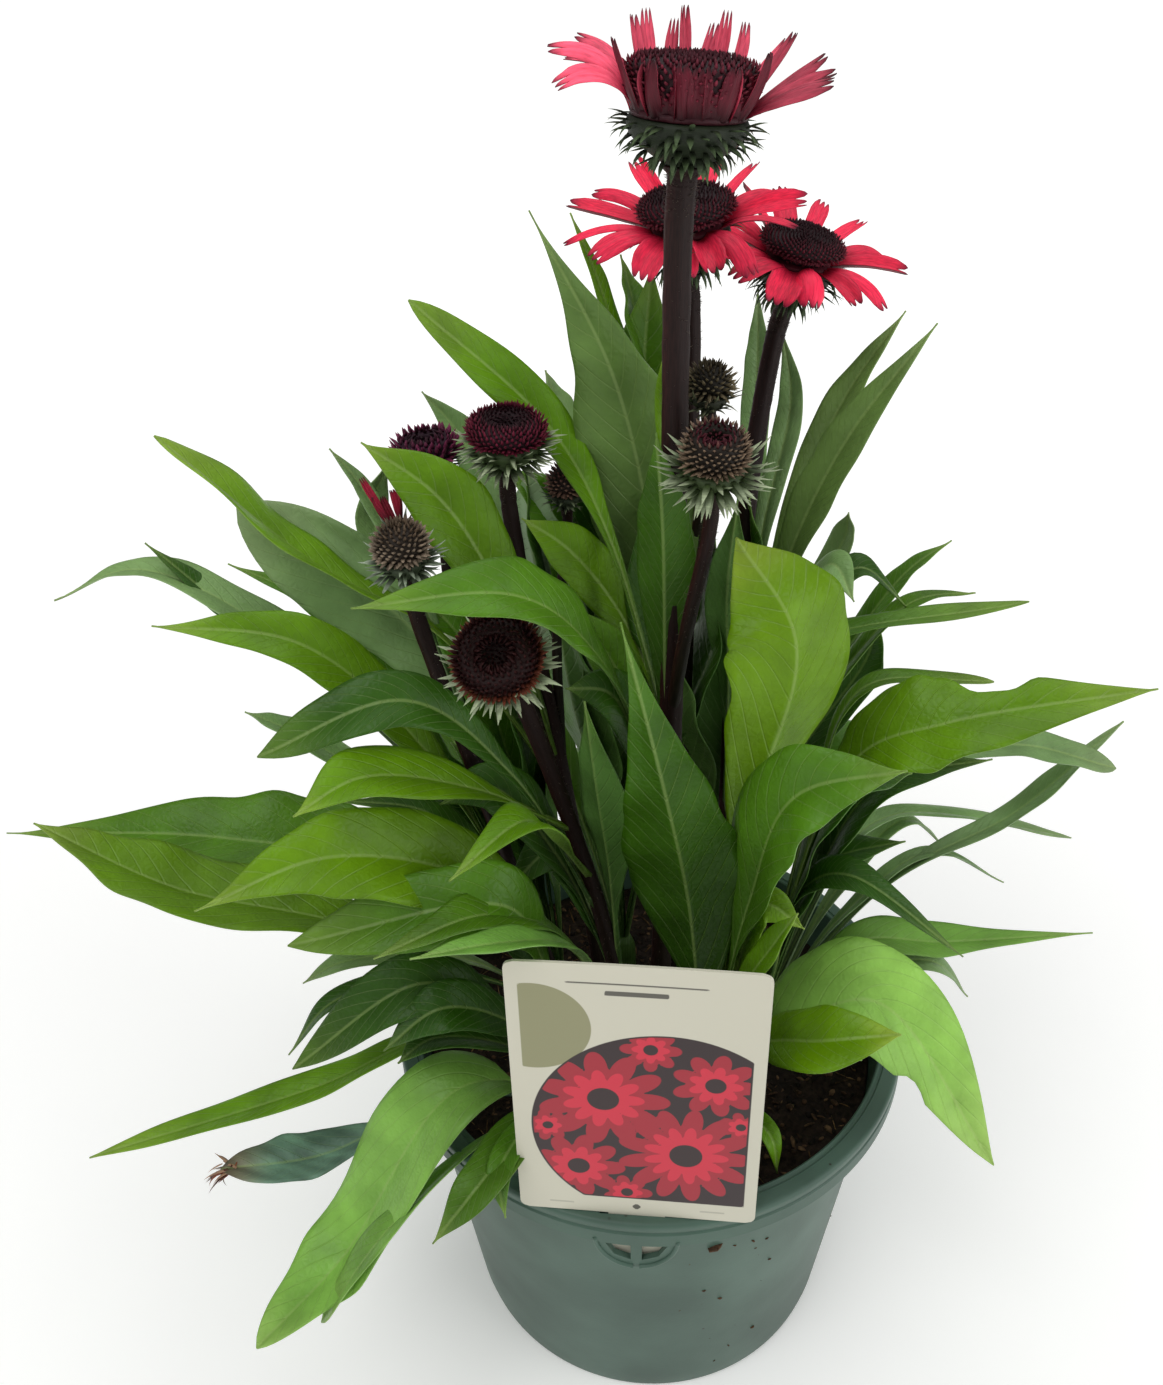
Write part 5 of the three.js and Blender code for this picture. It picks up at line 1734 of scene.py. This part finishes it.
    def wedges(self) -> Gather:
        """What goes from the holder: a window with four corners on each side.

        Returns:
            Closed surfaces.
        """
        near, far, down, up = self.window
        cutters = Gather()
        for side in (-1, 1):
            outline = np.array([[near, down], [0.72 * far, 0.78 * down], [far, up], [near, up]]) * (side, 1)
            y = np.array(self.window_y, float)[:, None]
            prism = np.stack(np.broadcast_arrays(outline[:, 0], y, outline[:, 1] + self.lap), axis=-1)[None]
            cutters.tubes(prism[:, :, ::side])
        return cutters

    def build(self) -> None:
        """Adds the wall, the holder and its border."""
        self.cut(show("pot_wall", self.wall_mesh(), POT, "pot", "pot"), self.openings())
        self.cut(show("pot_label_holder", self.holder_mesh(), POT, "pot", "pot"), self.wedges())
        show("pot_holder_border", self.border_mesh(), POT, "pot", "pot")


@dataclass(frozen=True)
class Litter:
    """Loose bits on the soil of one kind."""

    count: int
    length: Pair
    width: Pair
    flat: float  # thickness as a share of the width
    curl: float
    colours: tuple[str, ...]


@dataclass(frozen=True)
class Soil:
    """Peat with bark crumbs and fibres, heaped unevenly a little under the rim."""

    level: float = 120
    radius: float = 84.2
    # Height, size and seed of the unevenness.
    swells: tuple[tuple[float, float, int], ...] = ((1.5, 46, 1), (0.9, 13, 2), (0.5, 4.5, 3))
    dip: float = 0.8  # at the wall
    litter: tuple[Litter, ...] = (
        Litter(1800, (1.2, 5.5), (0.8, 2.6), 0.8, 0.3, ("#2a1e16", "#4a3526", "#16100c", "#5c4632")),  # bark
        Litter(420, (5, 18), (0.25, 0.6), 1.0, 1.6, ("#5a4228", "#7a6040", "#3a2a1c")),  # fibres
    )
    splashes: int = 40  # crumbs on the pot
    crumb: Triple = (-74, 110, 4)  # turn, height and width of the largest one

    def surface(self, x: Array, y: Array) -> Array:
        """Height of the peat: its level, waves of three sizes, and a dip towards the wall.

        Args:
            x: where.
            y: where.

        Returns:
            One height for each place.
        """
        spot = np.stack([x, y], axis=-1)
        height = self.level
        for swell, size, seed in self.swells:
            height = height + swell * waves(spot, size, seed)
        return height - self.dip * (np.hypot(x, y) / self.radius) ** 6

    def heap(self, gather: Gather, pot: Pot) -> None:
        """Adds the heap: rings that close in on the middle, over a foot inside the pot.

        Args:
            gather: the mesh that gets it.
            pot: the pot that it fills.
        """
        a = np.linspace(0, FULL_TURN, 200, endpoint=False)
        shares = np.sqrt(np.linspace(1, 0.0005, 50))[:, None]
        x, y = self.radius * shares * np.cos(a), self.radius * shares * np.sin(a)
        top = np.stack([x, y, self.surface(x, y)], axis=-1)
        rings = np.concatenate([polar(pot.inner(8) - 0.8, a, 5.0)[None], top])[None]
        gather.tubes(rings, tint=linear("#241a14") * (1 + 0.5 * waves(rings, 9, 4))[..., None])

    def scatter(self, gather: Gather, kind: Litter, rng: Random) -> None:
        """Adds loose bits, turned to the middle where they would reach through the wall.

        Args:
            gather: the mesh that gets them.
            kind: their kind.
            rng: for their places and sizes.
        """
        count = kind.count
        r = self.radius * np.sqrt(rng.uniform(0, 0.96, count))
        turn = rng.uniform(0, FULL_TURN, count)
        x, y = r * np.cos(turn), r * np.sin(turn)
        root = np.stack([x, y, self.surface(x, y) + 0.1], axis=-1)
        length = rng.uniform(*kind.length, count) * rng.uniform(0.4, 1, count)
        heading = rng.uniform(0, FULL_TURN, count)
        reach = np.hypot(x + length * np.cos(heading), y + length * np.sin(heading))
        heading = np.where(reach > self.radius, turn + np.pi, heading)
        rise = rng.uniform(0.0, 0.5, count)
        bits = needles(root, heading, rise, -rise * 2 + rng.normal(0, 0.2, count) * kind.curl, length,
                       rng.uniform(*kind.width, count), kind.flat, 4, 0.5)
        tint = palette(*kind.colours)[rng.integers(len(kind.colours), size=count)]
        gather.tubes(bits, Closure.ZIP, tint=tint[:, None, None])

    def splash(self, pot: Pot) -> None:
        """Adds the few crumbs of peat that stick to the pot's front and right.

        Args:
            pot: the pot that they stick to.
        """
        rng = np.random.default_rng(12)
        count = self.splashes
        azimuth, height, width = self.crumb
        turn = np.radians(np.append(rng.uniform(-80, 10, count - 1), azimuth))
        z = np.append(rng.uniform(8, 112, count - 1), height)
        wide = np.append(rng.uniform(0.4, 1.3, count - 1), width)
        root = polar(pot.outer(z) - 0.2, turn, z)
        bits = needles(root, turn + rng.uniform(1.2, 1.9, count), rng.uniform(-1, 1, count), 0 * turn,
                       1.4 * wide, wide, 0.9, 5, 0.5)
        gather = Gather()
        gather.tubes(bits, Closure.ZIP, tint=linear("#4a3626"))
        show("pot_splashed_crumbs", gather.mesh("crumbs"), PEAT, None)

    def build(self, pot: Pot) -> None:
        """Adds the heap with the bits that lie on it, and the crumbs on the pot.

        Args:
            pot: the pot that it fills.
        """
        gather, rng = Gather(), np.random.default_rng(11)
        self.heap(gather, pot)
        for kind in self.litter:
            self.scatter(gather, kind, rng)
        show("soil_peat", gather.mesh("soil"), PEAT, "soil", "soil")
        self.splash(pot)


@dataclass(frozen=True)
class Label:
    """A printed card on a tongue: cream, with a dark panel of plain rosettes, and no lettering."""

    width: float = 74.5
    height: float = 107
    thickness: float = 0.9
    corner: float = 3
    tongue: float = 20
    tongue_width: float = 18
    seat: float = 0.4
    y: float = -90.4
    z: float = 140
    yaw: float = -1
    lean: float = -2
    bow: float = 0.5  # how far the middle of the card stands out
    margin: float = 33.5  # half the width of the printed area
    panel: Triple = (9, 40, 41)  # middle and radius of the dark panel
    patch: Triple = (-30, 82, 17)  # middle and radius of the olive patch
    away: float = 5.0  # outline field where there is no ink
    # The middle, size and petals of each rosette.
    blooms: tuple[tuple[float, float, float, int], ...] = (
        (-10, 53, 20, 11), (15, 30, 21, 13), (23, 62, 13, 9), (-18, 22, 14.5, 9),
        (4, 75, 9, 8), (-27, 40, 7, 7), (31, 45, 6.5, 7), (-3, 11, 8, 7),
    )
    # The middle, half-width and half-height of each bar.
    bars: tuple[tuple[float, float, float, float], ...] = (
        (0, 100, 20, 0.35), (0, 96.5, 9, 0.9), (-24, 4.2, 4, 0.3), (24, 4.2, 4, 0.3),
    )

    def half_width(self, z: Array) -> Array:
        """Half the card's width: the tongue below the seat, then a rectangle with round corners.

        Args:
            z: heights.

        Returns:
            One half-width for each height.
        """
        c = self.corner
        inset = np.maximum(0, np.maximum(c + self.seat - z, z - (self.height - c)))
        card = self.width / 2 - c + np.sqrt(np.maximum(0, c**2 - np.minimum(inset, c) ** 2))
        slim = self.tongue_width / 2 - np.maximum(0, 6 - self.tongue - z) / 2
        return np.where(z > self.seat, card, slim)

    def rosettes(self, x: Array, z: Array, share: float) -> Array:
        """Distance to the nearest rosette: the radius less an outline that swings with the angle.

        Args:
            x: places across the card.
            z: heights.
            share: of each rosette's size.

        Returns:
            Distances, negative inside.
        """
        fields = []
        for middle, height, size, petals in self.blooms:
            dx, dz = x - middle, z - height
            swing = 0.55 + 0.45 * np.abs(np.cos(petals / 2 * np.arctan2(dz, dx))) ** 0.7
            fields.append((np.hypot(dx, dz) - share * size * swing) * 0.6)
        return np.min(fields, axis=0)

    def inks(self, x: Array, z: Array) -> tuple[Array, Array]:
        """Outline fields of the six inks, in millimetres and negative inside.

        Args:
            x: places across the card.
            z: heights.

        Returns:
            The patch, the panel and the petals, and then the inner petals, the hearts and the bars.
        """
        rounds = (np.hypot(x - spot[0], z - spot[1]) - spot[2] for spot in (self.panel, self.patch))
        panel, patch = (np.maximum(each, np.abs(x) - self.margin) for each in rounds)
        panel = np.maximum(panel, 8 - z)
        hearts = np.min([np.hypot(x - b[0], z - b[1]) - 0.24 * b[2] for b in self.blooms], axis=0)
        bars = [np.maximum(np.abs(x - b[0]) - b[2], np.abs(z - b[1]) - b[3]) for b in self.bars]
        rules = np.min([*bars, np.abs(x) + np.abs(z - 4.2) - 1.6], axis=0)
        flowers = (self.rosettes(x, z, 1), self.rosettes(x, z, 0.62), hearts)
        outer, inner, hearts = (np.maximum(each, panel + 0.6) for each in flowers)
        return np.stack([patch, panel, outer], axis=-1), np.stack([inner, hearts, rules], axis=-1)

    def build(self) -> None:
        """Adds the card: its width at each height, bowed a little, leaning back from its seat in the slit."""
        seam = self.seat + 0.001
        z = np.append(np.linspace(-self.tongue, self.seat, 16), np.linspace(seam, self.height, 156))[:, None]
        x = np.linspace(-1, 1, 100)[None] * self.half_width(z)
        bow = self.bow * ((1 - (x / (self.width / 2)) ** 2) * smoothstep(z, 0, 40) - 0.5)
        card = [np.stack([x, bow + side * self.thickness / 2, z + 0 * x], axis=-1) for side in (-1, 1)]
        blank = np.full(x.shape + (3,), self.away)
        front = [np.where(z[..., None] > self.seat, ink, self.away) for ink in self.inks(x, z)]
        low, high = (both_faces(ink, blank)[None] for ink in front)
        lean = Matrix.Rotation(np.radians(self.yaw), 3, "Z") @ Matrix.Rotation(np.radians(self.lean), 3, "X")
        rings = both_faces(*card)[None] @ np.array(lean).T + np.array([0, self.y, self.z])
        gather = Gather()
        gather.tubes(rings, Closure.ZIP, print_low=low, print_high=high)
        piece = show("label_card", gather.mesh("label"), CARD, "label", "label")
        piece.data.set_sharp_from_angle(angle=np.radians(40))


# ---------- studio ----------


@dataclass(frozen=True)
class Lamp:
    """A square area light: where it hangs and its size in metres, and its power in watts."""

    name: str
    place: Triple
    size: float
    watts: float


@dataclass(frozen=True)
class Studio:
    """A pale floor, soft light and a camera in front of the plant, a little above it."""

    eye: Triple = (11.4, -315.2, 485.6)
    forward: Triple = (-0.0876, 0.8332, -0.546)
    right: Triple = (0.9959, 0.0867, -0.0275)
    lens: float = 30.67  # with a sensor of 36 mm along the picture's height
    aim: Triple = (0, 0, 0.25)  # what the lights look at, in metres
    lamps: tuple[Lamp, ...] = (
        Lamp("key", (-0.7, -1.0, 1.9), 1.2, 17),
        Lamp("fill", (1.6, -0.7, 0.8), 1.2, 12),
        Lamp("top", (0.2, 0.5, 1.9), 1.6, 12),
    )
    sky: tuple[str, float] = ("#fbfcff", 0.32)  # its colour and strength
    floor: float = 30.0  # half its side, metres

    @staticmethod
    def put(made: bpy.types.Object, place: Array, back: Array, right: Array) -> None:
        """Adds an object to the scene.

        Args:
            made: the object.
            place: where it stands, in metres.
            back: the direction of its +Z axis.
            right: the direction of its +X axis.
        """
        pose = np.eye(4)
        pose[:3] = np.column_stack([right, np.cross(back, right), back, place])
        made.matrix_world = Matrix(pose.tolist())
        bpy.context.scene.collection.objects.link(made)

    def camera(self) -> None:
        """Makes the scene's camera."""
        back = -unit(np.array(self.forward))
        right = unit(np.array(self.right) - back * (back @ np.array(self.right)))
        data = bpy.data.cameras.new("camera")
        data.sensor_fit, data.sensor_width, data.lens, data.clip_start = "AUTO", 36.0, self.lens, 0.01
        made = bpy.data.objects.new("camera", data)
        self.put(made, np.array(self.eye) * MM, back, right)
        bpy.context.scene.camera = made

    def light(self, lamp: Lamp) -> None:
        """Adds a lamp that looks at the plant.

        Args:
            lamp: its sizes.
        """
        data = bpy.data.lights.new(lamp.name, "AREA")
        data.shape, data.size, data.energy = "SQUARE", lamp.size, lamp.watts
        back = unit(np.array(lamp.place) - np.array(self.aim))
        self.put(bpy.data.objects.new(lamp.name, data), np.array(lamp.place), back, unit(np.cross(Z, back)))

    def world(self) -> None:
        """Makes an even, dim sky."""
        colour, strength = self.sky
        world = bpy.data.worlds.new("studio")
        world.use_nodes = True
        sky = world.node_tree.nodes["Background"].inputs
        sky["Color"].default_value, sky["Strength"].default_value = (*linear(colour), 1), strength
        bpy.context.scene.world = world

    def build(self) -> None:
        """Makes the camera, the lights, the world and the floor."""
        self.camera()
        for lamp in self.lamps:
            self.light(lamp)
        self.world()
        bpy.context.scene.view_settings.view_transform = "Standard"
        mesh = bpy.data.meshes.new("floor")
        w = self.floor
        mesh.from_pydata([(-w, -w, 0), (w, -w, 0), (w, w, 0), (-w, w, 0)], [], [(0, 1, 2, 3)])
        mesh.materials.append(FLOOR.material())
        floor = bpy.data.objects.new("floor", mesh)
        bpy.context.scene.collection.objects.link(floor)


def main() -> None:
    """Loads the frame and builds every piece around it."""
    logging.basicConfig(level=logging.INFO, format="%(name)s: %(message)s")
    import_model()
    Studio().build()
    pot = Pot()
    pot.build()
    Soil().build(pot)
    Label().build()
    heads = {head.name: head for head in HEADS}
    for k, shoot in enumerate(SHOOTS):
        shoot.build(heads, 100 * (k + 1))
    for k, head in enumerate(HEADS):
        head.build(2000 + 10 * k, "young_floret" if head.name in BROWN_BUDS else "floret")


if __name__ == "__main__":
    main()
